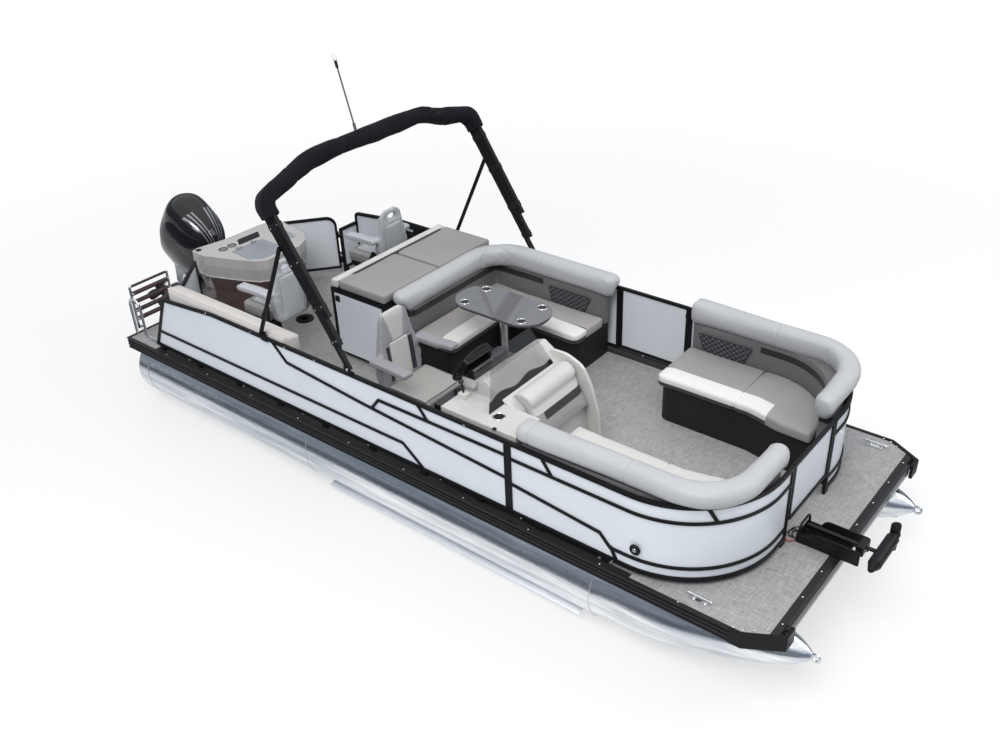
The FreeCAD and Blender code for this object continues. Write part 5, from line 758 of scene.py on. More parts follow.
def roll_finish(name, near, low, high):
    """Seat vinyl with a white roll where near is 1, and a dark skirt low down in front of it."""
    m = Finish(name, Sheen_Weight=0.08)
    patch = m.cloud(2.5, 4.0)
    roll = near(m)
    skirt = m.step(m.z, 0.0, SEAT_TOP_Z - ROLL_LOW, 0.004)
    colour = m.blend(roll, m.blend(patch, low, high), m.mottled(patch, WHITE, 0.94))
    return vinyl_skin(m, m.blend(roll * skirt, colour, rgb(*SKIRT_TONE)))


def inner_corner(m):
    """The L-shaped pad: its roll turns the inner corner, so it needs both distances at once."""
    return m.step(m.x, L_FRONT_X - ROLL_WIDE, 9.0, 0.004) * m.step(m.y, -9.0, L_IN_Y + ROLL_WIDE, 0.004)


def bow_edge(m):
    """The port bow pad: its roll follows the inner edge and the slanting cut at the nose."""
    edges = (((-9.0, BOW_IN_Y), (9.0, BOW_IN_Y)), ((BOW_CUT_X, BOW_IN_Y), (BOW_NOSE_X, BOW_NOSE_Y)))
    away = m.most(*[edge_distance(m.x, m.y, edge) for edge in edges])
    return m.step(away, -0.2, ROLL_WIDE, 0.003) * m.step(m.x, -9.0, x_at(5.86), 0.003)


def back_finish(name, x0, x1, z0, z1):
    """Grey backrest with a dark stripe of painted shade under the bolster, running along x at a height, from one x to
    another.
    """
    m = Finish(name, Sheen_Weight=0.08)
    colour = m.mottled(m.cloud(2.5, 4.0), (0.13, 0.128, 0.130), 0.92, 1.08)
    # Painted shade: a dark stripe on the back where the bolster's shade falls.
    painted_shade_stripe = m.step(m.x, x_at(x0), x_at(x1), 0.004) * m.step(m.height(), z0, z1, 0.002)
    return vinyl_skin(m, m.blend(painted_shade_stripe, colour, rgb(0.012, 0.012, 0.013)))


# The middle panel of a chair's back: from this height up it is a narrow wedge that widens, below it even.
HEAD_Z, HEAD_HALF, HEAD_SPREAD, PANEL_HALF = 0.79, 0.058, 0.22, 0.105


def chair_back_finish(name, place, way, rise, ivory, side_tone, navy):
    """A chair's back: a pale middle panel that widens to the head, dark wedges, grey side bolsters."""
    m = Finish(name, Sheen_Weight=0.08)
    patch = m.cloud(3.0, 4.0)
    ahead = (m.x - x_at(place[0])) * way
    off = abs(m.y - place[1])
    z = m.height() - rise
    head = m.step(z, HEAD_Z, 2.0, 0.003) * m.step((z - HEAD_Z) * HEAD_SPREAD + HEAD_HALF - off, 0.0, 1.0, 0.003)
    lumbar = m.step(z, 0.0, HEAD_Z - 0.005, 0.003) * m.step(off, -1.0, PANEL_HALF, 0.003)
    pale = m.most(head, lumbar) * m.step(ahead, -0.33, -0.115, 0.01)
    wedge = m.step(z, 0.46, 0.765, 0.003) * m.step(off, PANEL_HALF, 0.150, 0.003) * m.step(ahead, -0.30, -0.115, 0.01)
    side = m.mottled(patch, side_tone, 0.92)
    colour = m.blend(pale, side, m.mottled(patch, ivory, 0.94))
    return vinyl_skin(m, m.blend(wedge, colour, rgb(*navy)))


def chair_seat_finish(name, place, way, top_z, half, top, rim, low):
    """A chair's seat: a pale middle, a grey rim behind a dark welt, and a dark skirt."""
    m = Finish(name, Sheen_Weight=0.08)
    patch = m.cloud(3.0, 4.0)
    ahead = (m.x - x_at(place[0])) * way
    off = abs(m.y - place[1])
    inside = m.step(off, -1.0, half, 0.003) * m.step(ahead, -0.5, half + 0.02, 0.003)
    welt = m.step(off, -1.0, half + 0.009, 0.002) * m.step(ahead, -0.5, half + 0.029, 0.002) - inside
    skirt = m.step(m.height(), 0.0, top_z - 0.055, 0.004)
    colour = m.blend(inside, rgb(*rim), m.mottled(patch, top, 0.94))
    colour = m.blend(m.most(welt, 0.0), colour, rgb(0.012, 0.012, 0.014))
    return vinyl_skin(m, m.blend(skirt, colour, rgb(*low)))


def console_pad_finish(name):
    """The helm's front pad: ivory roll, a dark slot of painted shade with a rounded end, grey below."""
    m = Finish(name, Sheen_Weight=0.08)
    patch = m.cloud(3.0, 4.0)
    z = m.height()
    # Painted shade: the dark slot under the roll is only colour, with no gap in the mesh.
    slot = m.step(z, 0.545, 0.600, 0.003) * m.step(m.y, -0.70, 0.0, 0.004)
    lower = m.step(z, 0.0, 0.600, 0.003)
    upper = m.blend(patch, rgb(0.50, 0.49, 0.475), rgb(0.56, 0.55, 0.535))
    colour = m.blend(lower, upper, rgb(0.27, 0.262, 0.258))
    return vinyl_skin(m, m.blend(slot, colour, rgb(0.016, 0.016, 0.018)))


def three_of(node, name, voxel, cap, shrink=0.004):
    """Bags for the L lounge, the bow starboard lounge and the bow port lounge, in that order."""
    l_part, *bow = solids_of(node)
    bow.sort(key=lambda part: sum(v.co.y for v in part.verts))
    return [bag(name + end, part, voxel, cap, shrink)
            for end, part in zip(("l", "bow_stbd", "bow_port"), [l_part] + bow)]

# %% [markdown]
# ## Three pads at once
#
# The three lounges share one solid's name, so their solids are told apart by where they stand. Each
# becomes a bag with an even grid of 20 mm, fine enough for a soft edge and light enough for cloth.

# %% The three seat pads
SEAT_VOXEL = 0.02
SEAT_CAP = 0.012
seats = three_of("lounge_seats", "lounge_seat_", SEAT_VOXEL, SEAT_CAP)
print("seat pads", len(seats))

# %% [markdown]
# ## Backrests and the fat bolsters over them
#
# The backrest is a firm grey pad with a dark stripe of painted shade under the bolster, and a
# panel of quilted diamonds on the port side. The bolster is one long round pad that turns the corners; it
# is sewn from lengths of vinyl, so a seam rings it every metre or so and at each bend.

# %% Bags for the backs, the bolsters and the cabinet top
BACK_CAP = 0.010
BOLSTER_CAP = 0.010
backs = three_of("lounge_backs", "lounge_back_", SEAT_VOXEL, BACK_CAP)
bolsters = three_of("lounge_bolsters", "bolster_", SEAT_VOXEL, BOLSTER_CAP, 0.0)
OVER_RAIL, OVER_BACK, FLAT = 0.026, 0.055, 0.018


def make_fat(piece):
    """From a round pad to the real one: out over the rail, down over the backrest, flatter on top."""
    middle_z = sum(v.co.z for v in piece.data.vertices) / len(piece.data.vertices)
    bow = x_at(5.6)
    for v, n in [(v, v.normal.copy()) for v in piece.data.vertices]:
        level = Vector((n.x, n.y, 0.0))
        side = math.copysign(1.0, v.co.y)
        away = Vector((0.3 if v.co.x > bow else -0.5 if v.co.x < x_at(2.78) else 0.0, side, 0.0))
        out = level.dot(away.normalized())
        down = min(1.0, max(0.0, (middle_z + 0.02 - v.co.z) / 0.07))
        straight = min(1.0, max(0.0, (x_at(5.5) - v.co.x) / 0.5))
        v.co += level * (OVER_RAIL * straight if out > 0 else FLAT) * min(1.0, abs(out) * 1.5)
        v.co.z -= down * OVER_BACK * min(1.0, max(0.0, 0.35 - out) * 2.0)
        v.co.z += FLAT * max(0.0, min(1.0, 1.2 * abs(out))) * (1.0 - down) * 0.6


for piece in bolsters:
    make_fat(piece)
PAD_VOXEL = 0.018
cabinet_parts = [bag(name, part, PAD_VOXEL, 0.008) for name, part in zip(
    ("cabinet_band", "cabinet_pad_stbd", "cabinet_pad_port"), solids_of("cabinet_pads"))]
cover_pad = bag("side_cover", solids_of("side_cover_pad")[0], PAD_VOXEL, 0.010)
print("backs, bolsters, pads", len(backs) + len(bolsters) + len(cabinet_parts) + 1)

# %% [markdown]
# ## Swivel chairs
#
# A helm chair and two lighter fishing chairs. Each is a seat pad and a shield-shaped back with
# two arms. The solid of the back and its arms is one body of foam here; the colours of its
# panels come from the distance to the chair's own middle line.

# %% Bags for the chairs and the helm's front
SMALL_VOXEL = 0.014
chair_bags = {}
for chair in ("helm", "port", "starboard"):
    parts = solids_of(chair + "_chair_cushions")
    parts.sort(key=lambda part: max(v.co.z for v in part.verts))
    chair_bags[chair] = [bag(chair + "_chair_seat", parts[0], SMALL_VOXEL, 0.012),
                         bag(chair + "_chair_back", parts[1], SMALL_VOXEL, 0.012, 0.006)]
console_bag = bag("console_pad", solids_of("console_pads")[0], SMALL_VOXEL, 0.010)
print("chairs", len(chair_bags))

# %% [markdown]
# ## The folded canopy's cover
#
# The three bows of the canopy are folded into one hoop and zipped into a sleeve of black cloth.
# The sleeve is slack: it sags between its straps and creases where the hoop turns down, so its
# solid is drawn out of shape by a few long soft folds before the air goes in.

# %% Bag for the cover, then one simulation for all
def slacken(piece, depth):
    """Long soft folds before the air goes in, deeper where the cloth hangs."""
    for v, n in [(v, v.normal.copy()) for v in piece.data.vertices]:
        fold = noise.noise(Vector((v.co.x * 3.0, v.co.y * 2.2, v.co.z * 3.0)) * 1.6)
        pull = noise.noise(Vector((v.co.x * 9.0, v.co.y * 6.0, v.co.z * 9.0)) + Vector((7.0, 0, 0)))
        v.co += n * (depth * (fold - 0.35) + depth * 0.4 * pull)


cover_bag = bag("canopy_cover", solids_of("bimini_boot")[0], PAD_VOXEL, 0.012, 0.003)
slacken(cover_bag, 0.020)
blow_up()

# %% [markdown]
# ## Seams
#
# Thread pulls the vinyl in where two pieces meet. A seam here is a groove with soft sides: each
# point of the skin is pushed in along its normal, the more the nearer it is to the seam.

# %% Seams pressed into the cushions
FAR = 9.0


def across(axis, places):
    """Distance to the nearest of some planes square to an axis."""
    return lambda co: np.min([abs(co[:, axis] - p) for p in places], axis=0)


def bolster_seams(piece):
    return grooved(finer(piece), [(across(0, [x_at(x) for x in (3.30, 4.85, 5.62)]), 0.007, 0.006),
                                  (across(1, [0.42, -0.42, 1.0, -1.0]), 0.007, 0.005)])


def chair_seams(piece, place, rise):
    """Grooves round the middle panel of a chair's back."""
    def beside(co):
        z = co[:, 2] - DECK_Z - rise
        line = np.where(z > HEAD_Z, HEAD_HALF + (z - HEAD_Z) * HEAD_SPREAD, PANEL_HALF)
        return np.where(z > 0.42, abs(abs(co[:, 1] - place[1]) - line), FAR)

    def level(co):
        z = co[:, 2] - DECK_Z - rise
        return np.where(abs(co[:, 1] - place[1]) < PANEL_HALF + 0.005, abs(z - (HEAD_Z - 0.002)), FAR)

    return grooved(finer(piece), [(beside, 0.008, 0.009), (level, 0.008, 0.009)])


for piece in bolsters:
    bolster_seams(piece)
for piece in seats[1:]:
    grooved(finer(piece), [(across(0, [x_at(5.575)]), 0.008, 0.009)])
grooved(finer(seats[0]), [(across(1, [L_IN_Y + ROLL_WIDE]), 0.006, 0.004)])
grooved(finer(cover_bag), [(across(1, [-0.86, -0.28, 0.34, 0.92]), 0.010, 0.006)])
CHAIRS = {"helm": ((3.425, -0.740), 1, 0.0), "port": ((1.406, 0.802), -1, 0.075),
          "starboard": ((1.406, -0.550), -1, 0.075)}
for chair, (place, way, rise) in CHAIRS.items():
    chair_seams(chair_bags[chair][1], place, rise)
    finer(chair_bags[chair][0])
print("grooved", len(bolsters) + len(seats) + 1 + len(CHAIRS))

# %% [markdown]
# ## Dressing the cushions
#
# Each bag takes the place of its solid. The first bag of a solid stands for it, the others only
# add to it.

# %% Dress the lounges and the chairs
l_pad = roll_finish("l_pad", inner_corner, rgb(0.30, 0.285, 0.272), rgb(0.37, 0.355, 0.34))
bow_stbd_pad = vinyl("bow_stbd_pad", (0.56, 0.55, 0.53))
WARM = (0.28, 0.272, 0.268)
bow_port_pad = roll_finish("bow_port_pad", bow_edge, shade(WARM, 0.9), shade(WARM, 1.06))
back_l_vinyl = back_finish("back_l_vinyl", 2.60, 3.33, 0.562, 0.622)
back_bow_vinyl = back_finish("back_bow_vinyl", 5.50, 6.4, 0.558, 0.615)
lounge_set = (
    ("lounge_seats", seats, (l_pad, bow_stbd_pad, bow_port_pad)),
    ("lounge_backs", backs, (back_l_vinyl, mid_vinyl, back_bow_vinyl)),
    ("lounge_bolsters", bolsters, (light_vinyl,) * 3),
    ("cabinet_pads", cabinet_parts, (ivory_vinyl, warm_vinyl, warm_vinyl)),
    ("side_cover_pad", [cover_pad], (cover_vinyl,)),
    ("console_pads", [console_bag], (console_pad_finish("console_pad_vinyl"),)))
SOFT = []
for node, pieces, finishes in lounge_set:
    for i, (piece, finish) in enumerate(zip(pieces, finishes)):
        dress(piece, "hull", node, finish, *([] if i else [node]))
        SOFT.append(piece)
IVORY, SIDE_GREY, PALE_GREY = (0.50, 0.49, 0.475), (0.27, 0.27, 0.285), (0.48, 0.49, 0.51)
# Seat: height of its top, half width of its middle, and the tones of middle, rim and skirt.
HELM_SEAT = (0.455, 0.215, (0.34, 0.325, 0.31), (0.20, 0.19, 0.185), (0.020, 0.015, 0.014))
FISH_SEAT = (0.530, 0.13, PALE_GREY, (0.27, 0.265, 0.26), (0.20, 0.195, 0.19))
# Back: the tones of its middle, its sides and its wedges.
HELM_BACK = (IVORY, SIDE_GREY, (0.012, 0.014, 0.022))
FISH_BACK = (PALE_GREY, (0.46, 0.47, 0.49), (0.40, 0.41, 0.43))
for chair, (seat, back) in chair_bags.items():
    place, way, rise = CHAIRS[chair]
    seat_look, back_look = (HELM_SEAT, HELM_BACK) if chair == "helm" else (FISH_SEAT, FISH_BACK)
    body, node = chair + "_chair", chair + "_chair_cushions"
    dress(seat, body, node, chair_seat_finish(chair + "_seat_vinyl", place, way, *seat_look), node)
    dress(back, body, node, chair_back_finish(chair + "_back_vinyl", place, way, rise, *back_look))
dress(cover_bag, "bimini_top", "bimini_boot", boot_canvas, "bimini_boot")
SOFT += [piece for pair in chair_bags.values() for piece in pair]
print("soft pieces", len(SOFT) + 1)

# %% [markdown]
# ## Small parts out of a few shapes
#
# Trim is built from four shapes: a tube along a run of points, a flat slab with any outline, a
# ring and a disc. Each is a list of points and faces, so several can be merged into one piece.
# A slab is drawn on a plane given by a corner and two directions.

# %% Tubes, slabs, rings and discs
UP, SIDES = (0, 0, 1), (-1, 1)


def tube(points, radius, sides=10, closed=False):
    """Points and faces of a round tube along a run of places."""
    points = [Vector(p) for p in points]
    n = len(points)
    verts, faces = [], []
    side = None
    for i, p in enumerate(points):
        before = points[i - 1] if (i or closed) else p
        after = points[(i + 1) % n] if (i < n - 1 or closed) else p
        ahead = (after - before).normalized()
        if side is None:
            side = ahead.orthogonal().normalized()
        side = (side - ahead * side.dot(ahead)).normalized()
        up = ahead.cross(side)
        for k in range(sides):
            a = 2 * math.pi * k / sides
            verts.append(p + (side * math.cos(a) + up * math.sin(a)) * radius)
    for i in range(n if closed else n - 1):
        a, b = i * sides, ((i + 1) % n) * sides
        faces += [(a + k, a + (k + 1) % sides, b + (k + 1) % sides, b + k) for k in range(sides)]
    if not closed:
        faces += [tuple(range(sides))[::-1], tuple(range((n - 1) * sides, n * sides))]
    return verts, faces


def slab(outline, thick, corner, u, v):
    """A flat plate: its outline in (u, v) from a corner, grown by thick along u x v."""
    corner, u, v = Vector(corner), Vector(u).normalized(), Vector(v).normalized()
    w = u.cross(v) * thick
    flat = [corner + u * a + v * b for a, b in outline]
    n = len(flat)
    faces = [tuple(range(n))[::-1], tuple(range(n, 2 * n))]
    faces += [(k, (k + 1) % n, n + (k + 1) % n, n + k) for k in range(n)]
    return flat + [p + w for p in flat], faces


def upright(outline, thick, y, z=0.0):
    """A plate that stands along the boat at a y, its outline in metres ahead of the stern and above the deck."""
    return slab(outline, thick, at(0, y, z), (1, 0, 0), UP)


def lying(outline, thick, z):
    """A plate that lies flat at a height."""
    return slab(outline, thick, at(0, 0, z), (1, 0, 0), (0, 1, 0))


def ring(centre, major, minor, axis=UP, steps=32):
    axis = Vector(axis).normalized()
    side = axis.orthogonal().normalized()
    up = axis.cross(side)
    turns = [2 * math.pi * k / steps for k in range(steps)]
    run = [Vector(centre) + (side * math.cos(a) + up * math.sin(a)) * major for a in turns]
    return tube(run, minor, 8, True)


def disc(centre, radius, tall, axis=UP, steps=24):
    axis = Vector(axis).normalized()
    return tube([Vector(centre), Vector(centre) + axis * tall], radius, steps)


def rounded(corners, radius, steps=4):
    """An outline with its corners rounded."""
    out = []
    n = len(corners)
    for i, here in enumerate(corners):
        p = Vector(here)
        a, b = Vector(corners[i - 1]) - p, Vector(corners[(i + 1) % n]) - p
        cut = min(radius, a.length * 0.45, b.length * 0.45)
        start, end = p + a.normalized() * cut, p + b.normalized() * cut
        for k in range(steps + 1):
            t = k / steps
            out.append(tuple((1 - t) ** 2 * start + 2 * t * (1 - t) * p + t ** 2 * end))
    return out


def plate(x0, z0, x1, z1, radius):
    return rounded([(x0, z0), (x1, z0), (x1, z1), (x0, z1)], radius)


def trim(name, shapes, slot="fence_frames", finish=black_plastic, bevel=0.0, smooth=True, body="hull"):
    """Merges shapes into one piece and dresses it."""
    verts, faces = [], []
    for more, ends in shapes:
        start = len(verts)
        verts += [tuple(p) for p in more]
        faces += [tuple(start + i for i in face) for face in ends]
    mesh = bpy.data.meshes.new(name)
    mesh.from_pydata(verts, [], faces)
    work = bmesh.new()
    work.from_mesh(mesh)
    bmesh.ops.recalc_face_normals(work, faces=work.faces)
    if bevel:
        sharp = [e for e in work.edges if e.calc_face_angle(0) > 0.7]
        bmesh.ops.bevel(work, geom=sharp, offset=bevel, segments=2, profile=0.6, affect="EDGES")
    work.to_mesh(mesh)
    work.free()
    piece = link_mesh(name, mesh, False)
    for face in mesh.polygons:
        face.use_smooth = smooth and len(face.vertices) == 4 and not bevel
    return dress(piece, body, slot, finish)

# %% [markdown]
# ## Screw heads by the hundred
#
# A Geometry Nodes group puts one domed head on every point it is given and turns it along the
# point's own direction. The dome is a squashed sphere; its radius is an input.

# %% The group of nodes, and a function that uses it
def make_heads_group():
    group = bpy.data.node_groups.new("screw_heads", "GeometryNodeTree")

    def socket(name, way, kind):
        return group.interface.new_socket(name, in_out=way, socket_type="NodeSocket" + kind)

    socket("Geometry", "INPUT", "Geometry")
    radius, material = socket("Radius", "INPUT", "Float"), socket("Material", "INPUT", "Material")
    socket("Geometry", "OUTPUT", "Geometry")
    n = {key: group.nodes.new(kind) for key, kind in (
        ("start", "NodeGroupInput"), ("end", "NodeGroupOutput"), ("points", "GeometryNodeMeshToPoints"),
        ("place", "GeometryNodeInstanceOnPoints"), ("dome", "GeometryNodeMeshUVSphere"),
        ("squash", "GeometryNodeTransform"), ("aim", "GeometryNodeInputNamedAttribute"),
        ("turn", "FunctionNodeAlignRotationToVector"), ("real", "GeometryNodeRealizeInstances"),
        ("coat", "GeometryNodeSetMaterial"))}
    n["aim"].data_type, n["turn"].axis = "FLOAT_VECTOR", "Z"
    for key, name, value in (("aim", "Name", "aim"), ("dome", "Segments", 12), ("dome", "Rings", 7),
                             ("squash", "Scale", (1.0, 1.0, 0.45))):
        n[key].inputs[name].default_value = value
    for key, out, other, into in (
            ("start", 0, "points", "Mesh"), ("points", 0, "place", "Points"), ("start", 1, "dome", "Radius"),
            ("dome", "Mesh", "squash", "Geometry"), ("squash", 0, "place", "Instance"),
            ("aim", "Attribute", "turn", "Vector"), ("turn", 0, "place", "Rotation"), ("place", 0, "real", 0),
            ("real", 0, "coat", "Geometry"), ("start", 2, "coat", "Material"), ("coat", 0, "end", 0)):
        group.links.new(n[key].outputs[out], n[other].inputs[into])
    return group, radius.identifier, material.identifier


HEADS, HEADS_RADIUS, HEADS_MATERIAL = make_heads_group()


def heads(name, spots, radius, slot="cleats", finish=chrome, body="hull"):
    """Screw heads at places, each with the direction it faces."""
    mesh = bpy.data.meshes.new(name)
    mesh.from_pydata([tuple(p) for p, aim in spots], [], [])
    ways = mesh.attributes.new("aim", "FLOAT_VECTOR", "POINT")
    for way, (p, aim) in zip(ways.data, spots):
        way.vector = aim
    piece = link_mesh(name, mesh, False)
    nodes = piece.modifiers.new("heads", "NODES")
    nodes.node_group = HEADS
    nodes[HEADS_RADIUS] = radius
    nodes[HEADS_MATERIAL] = finish.material
    applied(piece)
    piece.data.shade_smooth()
    return dress(piece, body, slot, finish)

# %% [markdown]
# ## Screws, bolts and fittings along the rails
#
# The rub rails are screwed down every 0.6 m and the bow channel every 0.2 m. The feet of the
# fences are bolted down, and a round fitting and a cap are pressed on the starboard fence.

# %% Along the rails and on the fences
OUT_Y, FENCE_Y = 1.272, 1.2335
screw_spots = [(at(x, side * OUT_Y, 0.0065), UP) for side in SIDES for x in np.arange(0.59, 6.5, 0.615)]
screw_spots += [(at(6.794, y, 0.002), UP) for y in np.arange(-0.9, 0.91, 0.2)]
screw_spots += [(at(6.52 + i * 0.06, side * (1.262 - i * i * 0.012), 0.010), UP) for side in SIDES for i in range(4)]
heads("deck_screws", screw_spots, 0.0075)
fence_bolts = [(at(x, side * FENCE_Y, 0.034), (0, side, 0)) for side in SIDES for x in np.arange(0.9, 5.6, 0.78)]
fence_bolts += [(at(x, -FENCE_Y, 0.655), (0, -1, 0)) for x in (0.82, 1.32, 1.92, 2.36, 2.72, 4.30)]
heads("fence_bolts", fence_bolts, 0.008)
heads("rim_screws", [(at(6.752, y, 0.001), UP) for y in np.arange(-1.05, 1.06, 0.30)], 0.0075)
trim("round_fitting", [disc(at(5.760, -1.228, 0.235), 0.040, 0.012, (0, -1, 0)),
                       ring(at(5.760, -1.240, 0.235), 0.034, 0.005, (0, 1, 0))])
heads("round_fitting_centre", [(at(5.760, -1.242, 0.235), (0, -1, 0))], 0.017)
trim("aft_post_cap", [disc(at(0.612, -1.209, 0.545), 0.030, 0.021, (0, -1, 0))])
print("screws", len(screw_spots) + len(fence_bolts))

# %% [markdown]
# ## Slanting bars at the bow
#
# A short flat bar braces the top band of the fence where it turns. It lies on the round corner,
# so its points are placed by an angle round the corner's centre and a height.

# %% Bars laid on an arc
# The arc's centre ahead of the stern, its distance from the middle, and its radius.
BOW_ARC = (5.6797, 0.4817, 0.7503)


def slanting_bar(side, top, foot, wide=0.030, deep=0.011, steps=6):
    """A flat bar laid on the round corner of the bow fence, between two angles and heights."""
    along, across, reach = BOW_ARC
    verts = []
    for i in range(steps + 1):
        turn, z = (a + (b - a) * i / steps for a, b in zip(top, foot))
        for offset, depth in ((-0.5, 0.0), (0.5, 0.0), (0.5, deep), (-0.5, deep)):
            a, r = math.radians(turn) + offset * wide / reach, reach - depth
            verts.append(at(along + r * math.sin(a), side * (across + r * math.cos(a)), z))
    faces = [(4 * i + k, 4 * i + (k + 1) % 4, 4 * i + 4 + (k + 1) % 4, 4 * i + 4 + k)
             for i in range(steps) for k in range(4)]
    return verts, faces + [(3, 2, 1, 0), tuple(range(4 * steps, 4 * steps + 4))]


trim("bow_slanting_bars", [slanting_bar(side, (41.7, 0.647), (46.6, 0.537)) for side in SIDES],
     finish=black_coat, smooth=False)

# %% [markdown]
# ## Welds and strakes
#
# A pontoon is rolled in lengths and welded round, which leaves a low bead like a ring. The strakes
# are bent strips low on each flank, which lift the hull at speed.

# %% Welds and strakes on the pontoons
TUBE_Y, TUBE_Z, TUBE_R = 0.927, -0.413, 0.3175
WELD_X = (0.12, 2.42, 5.40)
STRAKE_START, STRAKE_LONG, STRAKE_WIDE = 2.62, 2.66, 0.085
trim("weld_beads", [ring(at(x, side * TUBE_Y, TUBE_Z), TUBE_R + 0.001, 0.0045, (1, 0, 0), 64)
                    for side in SIDES for x in WELD_X], "pontoons", leg_metal)


def strake(side, way):
    """A thin bent strip on one flank, 50 degrees below the middle of the tube."""
    c, s = math.cos(math.radians(50)), math.sin(math.radians(50))
    near, far = TUBE_R - 0.004, TUBE_R + STRAKE_WIDE
    flank = [(near * c, -near * s), (far * c, -near * s - 0.030), (far * c, -near * s - 0.036),
             (near * c, -near * s - 0.010)]
    return slab([(way * u, v) for u, v in flank], STRAKE_LONG, at(STRAKE_START, side * TUBE_Y, TUBE_Z), (0, 1, 0), UP)


trim("lifting_strakes", [strake(side, way) for side in SIDES for way in SIDES], "pontoons", strake_metal,
     smooth=False)
print("welds", 2 * len(WELD_X))

# %% [markdown]
# ## Seats: quilted panels, welts and the cabinet's stripe
#
# The quilted panels are thin slanted pads set in the backrests, each edged with a dark welt. More
# welts run round the pads where two vinyls meet, as cords of three millimetres.

# %% Quilts and welts
WELT = 0.004
welt_vinyl = vinyl("welt_vinyl", (0.012, 0.012, 0.014))


def quilt(name, corners, y, thick=0.010):
    """A padded parallelogram on an inner back face that looks towards the middle of the boat."""
    outline = rounded(corners, 0.012)
    trim(name, [upright(outline, thick, y)], "lounge_backs", quilt_dark, 0.003)
    edge = [at(x, y - thick * 0.8, z) for x, z in outline]
    trim(name + "_welt", [tube(edge, WELT, 8, True)], "lounge_backs", welt_vinyl)


quilt("quilt_l", [(3.397, 0.572), (3.858, 0.572), (3.780, 0.400), (3.444, 0.400)], 1.041)
quilt("quilt_bow", [(4.946, 0.572), (5.434, 0.572), (5.356, 0.400), (5.012, 0.400)], 1.046)
CAB_TOP_Z = 0.792
stripe = rounded([(2.040, -0.12), (2.075, -0.09), (2.075, 1.06), (2.040, 1.10)], 0.01)
trim("cabinet_stripe", [lying(stripe, 0.004, CAB_TOP_Z - 0.006)], "cabinet_pads", welt_vinyl)
roll_x, roll_y, bow_y, bow_x = L_FRONT_X - ROLL_WIDE, L_IN_Y + ROLL_WIDE, BOW_IN_Y + ROLL_WIDE, x_at(5.575)
welts = ([(roll_x, L_STBD_Y + 0.02), (roll_x, roll_y - 0.03), (roll_x + 0.03, roll_y), (L_FORE_X - 0.02, roll_y)],
         [(x_at(4.88), bow_y), (x_at(5.56), bow_y), (bow_x, bow_y + 0.02), (bow_x, 1.03)])
trim("seat_welts", [tube([(x, y, SEAT_TOP_Z - 0.003) for x, y in run], WELT) for run in welts],
     "lounge_seats", welt_vinyl)
print("quilted panels 2, welts", 2 + len(welts))

# %% [markdown]
# ## Table, helm and stern console
#
# The cup holders of the table and the stern console are wells in the solids, and each gets a
# ring. The helm's is only drawn, as a ring round a dark disc. The dash is a black binnacle with a
# display, and the raised wing beside it is a thin plate with a rounded outline.

# %% Rings, display and inserts
cups = [at(3.463 + dx, 0.287 + dy, 0.7205) for dx in (-0.307, 0.307) for dy in (-0.148, 0.148)]
trim("table_rings", [ring(p, 0.043, 0.0055) for p in cups], "cleats", chrome)
trim("table_cup_floors", [disc(p - Vector((0, 0, 0.027)), 0.039, 0.004) for p in cups])
helm_cup = at(4.483, -1.053, 0.7015)
trim("helm_cup_ring", [ring(helm_cup, 0.045, 0.006)], "cleats", chrome)
trim("helm_cup_well", [disc(helm_cup, 0.041, 0.0015)], finish=black_gloss)
heads("helm_fitting", [(at(4.551, -1.190, 0.701), UP)], 0.018, "fence_frames", black_gloss)
trim("stern_cup_rings", [ring(at(0.470, y, 0.7105), 0.042, 0.004) for y in (-0.240, -0.345)])
glass = Finish("display_glass", Specular_IOR_Level=0.8, Coat_Weight=1.0, Coat_Roughness=0.03)
glass.paint(Base_Color=glass.blend(glass.cells(14.0), rgb(0.010, 0.014, 0.020), rgb(0.05, 0.07, 0.09)),
            Roughness=(glass.cloud(5.0), 0.03, 0.09))
foot, lean_up = at(4.02, -0.83, 0.865), Vector((0.5, 0, 0.866))
proud = lean_up.cross(Vector((0, 1, 0))) * 0.003
trim("display_case", [slab(plate(-0.15, 0, 0.15, 0.17, 0.02), 0.05, foot, (0, 1, 0), lean_up)],
     "helm_console", black_gloss, 0.006)
trim("display_glass", [slab(plate(-0.125, 0.02, 0.125, 0.15, 0.008), 0.004, foot + proud, (0, 1, 0), lean_up)],
     "helm_console", glass)
trim("gauge_rims", [ring(at(4.035, y, 0.86), 0.036, 0.005, (-0.8, 0, 0.6)) for y in (-0.60, -0.68)], "cleats", chrome)
wing = rounded([(4.30, 0.10), (4.30, 0.80), (4.47, 0.805), (4.62, 0.745), (4.70, 0.60), (4.775, 0.36), (4.80, 0.0),
                (4.50, 0.0)], 0.05, 5)
trim("console_wing", [upright(wing, 0.030, -0.172, 0.002)], "helm_console", ivory_gel, 0.006)
inset = rounded([(0.407, -0.123), (0.521, -0.189), (0.533, 0.065), (0.418, 0.134)], 0.012)
trim("stern_inset", [lying(inset, 0.003, 0.7095)], "stern_console", black_plastic, 0.001)
hatch = rounded([(0.575, 0.212), (0.812, 0.193), (0.846, 0.240), (0.792, 0.290), (0.575, 0.316)], 0.015)
trim("stern_hatch", [lying(hatch, 0.010, 0.700)], "stern_console", lid_grey, 0.002)
trim("stern_side_cap", [disc(at(0.280, -0.496, 0.7095), 0.030, 0.004)], "stern_console", black_plastic, 0.001)
print("cup rings", len(cups) + 3)

# %% [markdown]
# ## Latches, clamps and the inner panel
#
# The three bows of the canopy are held side by side by clamps. Doors and gates have square
# latches. A dark inner panel with a hand slot lines the port fence beside the cabinet.

# %% Clamps and latches
LEAN, BOW_STEP = math.radians(33.2), 0.048
FOOT_X, FOOT_Z = 3.120, 0.715


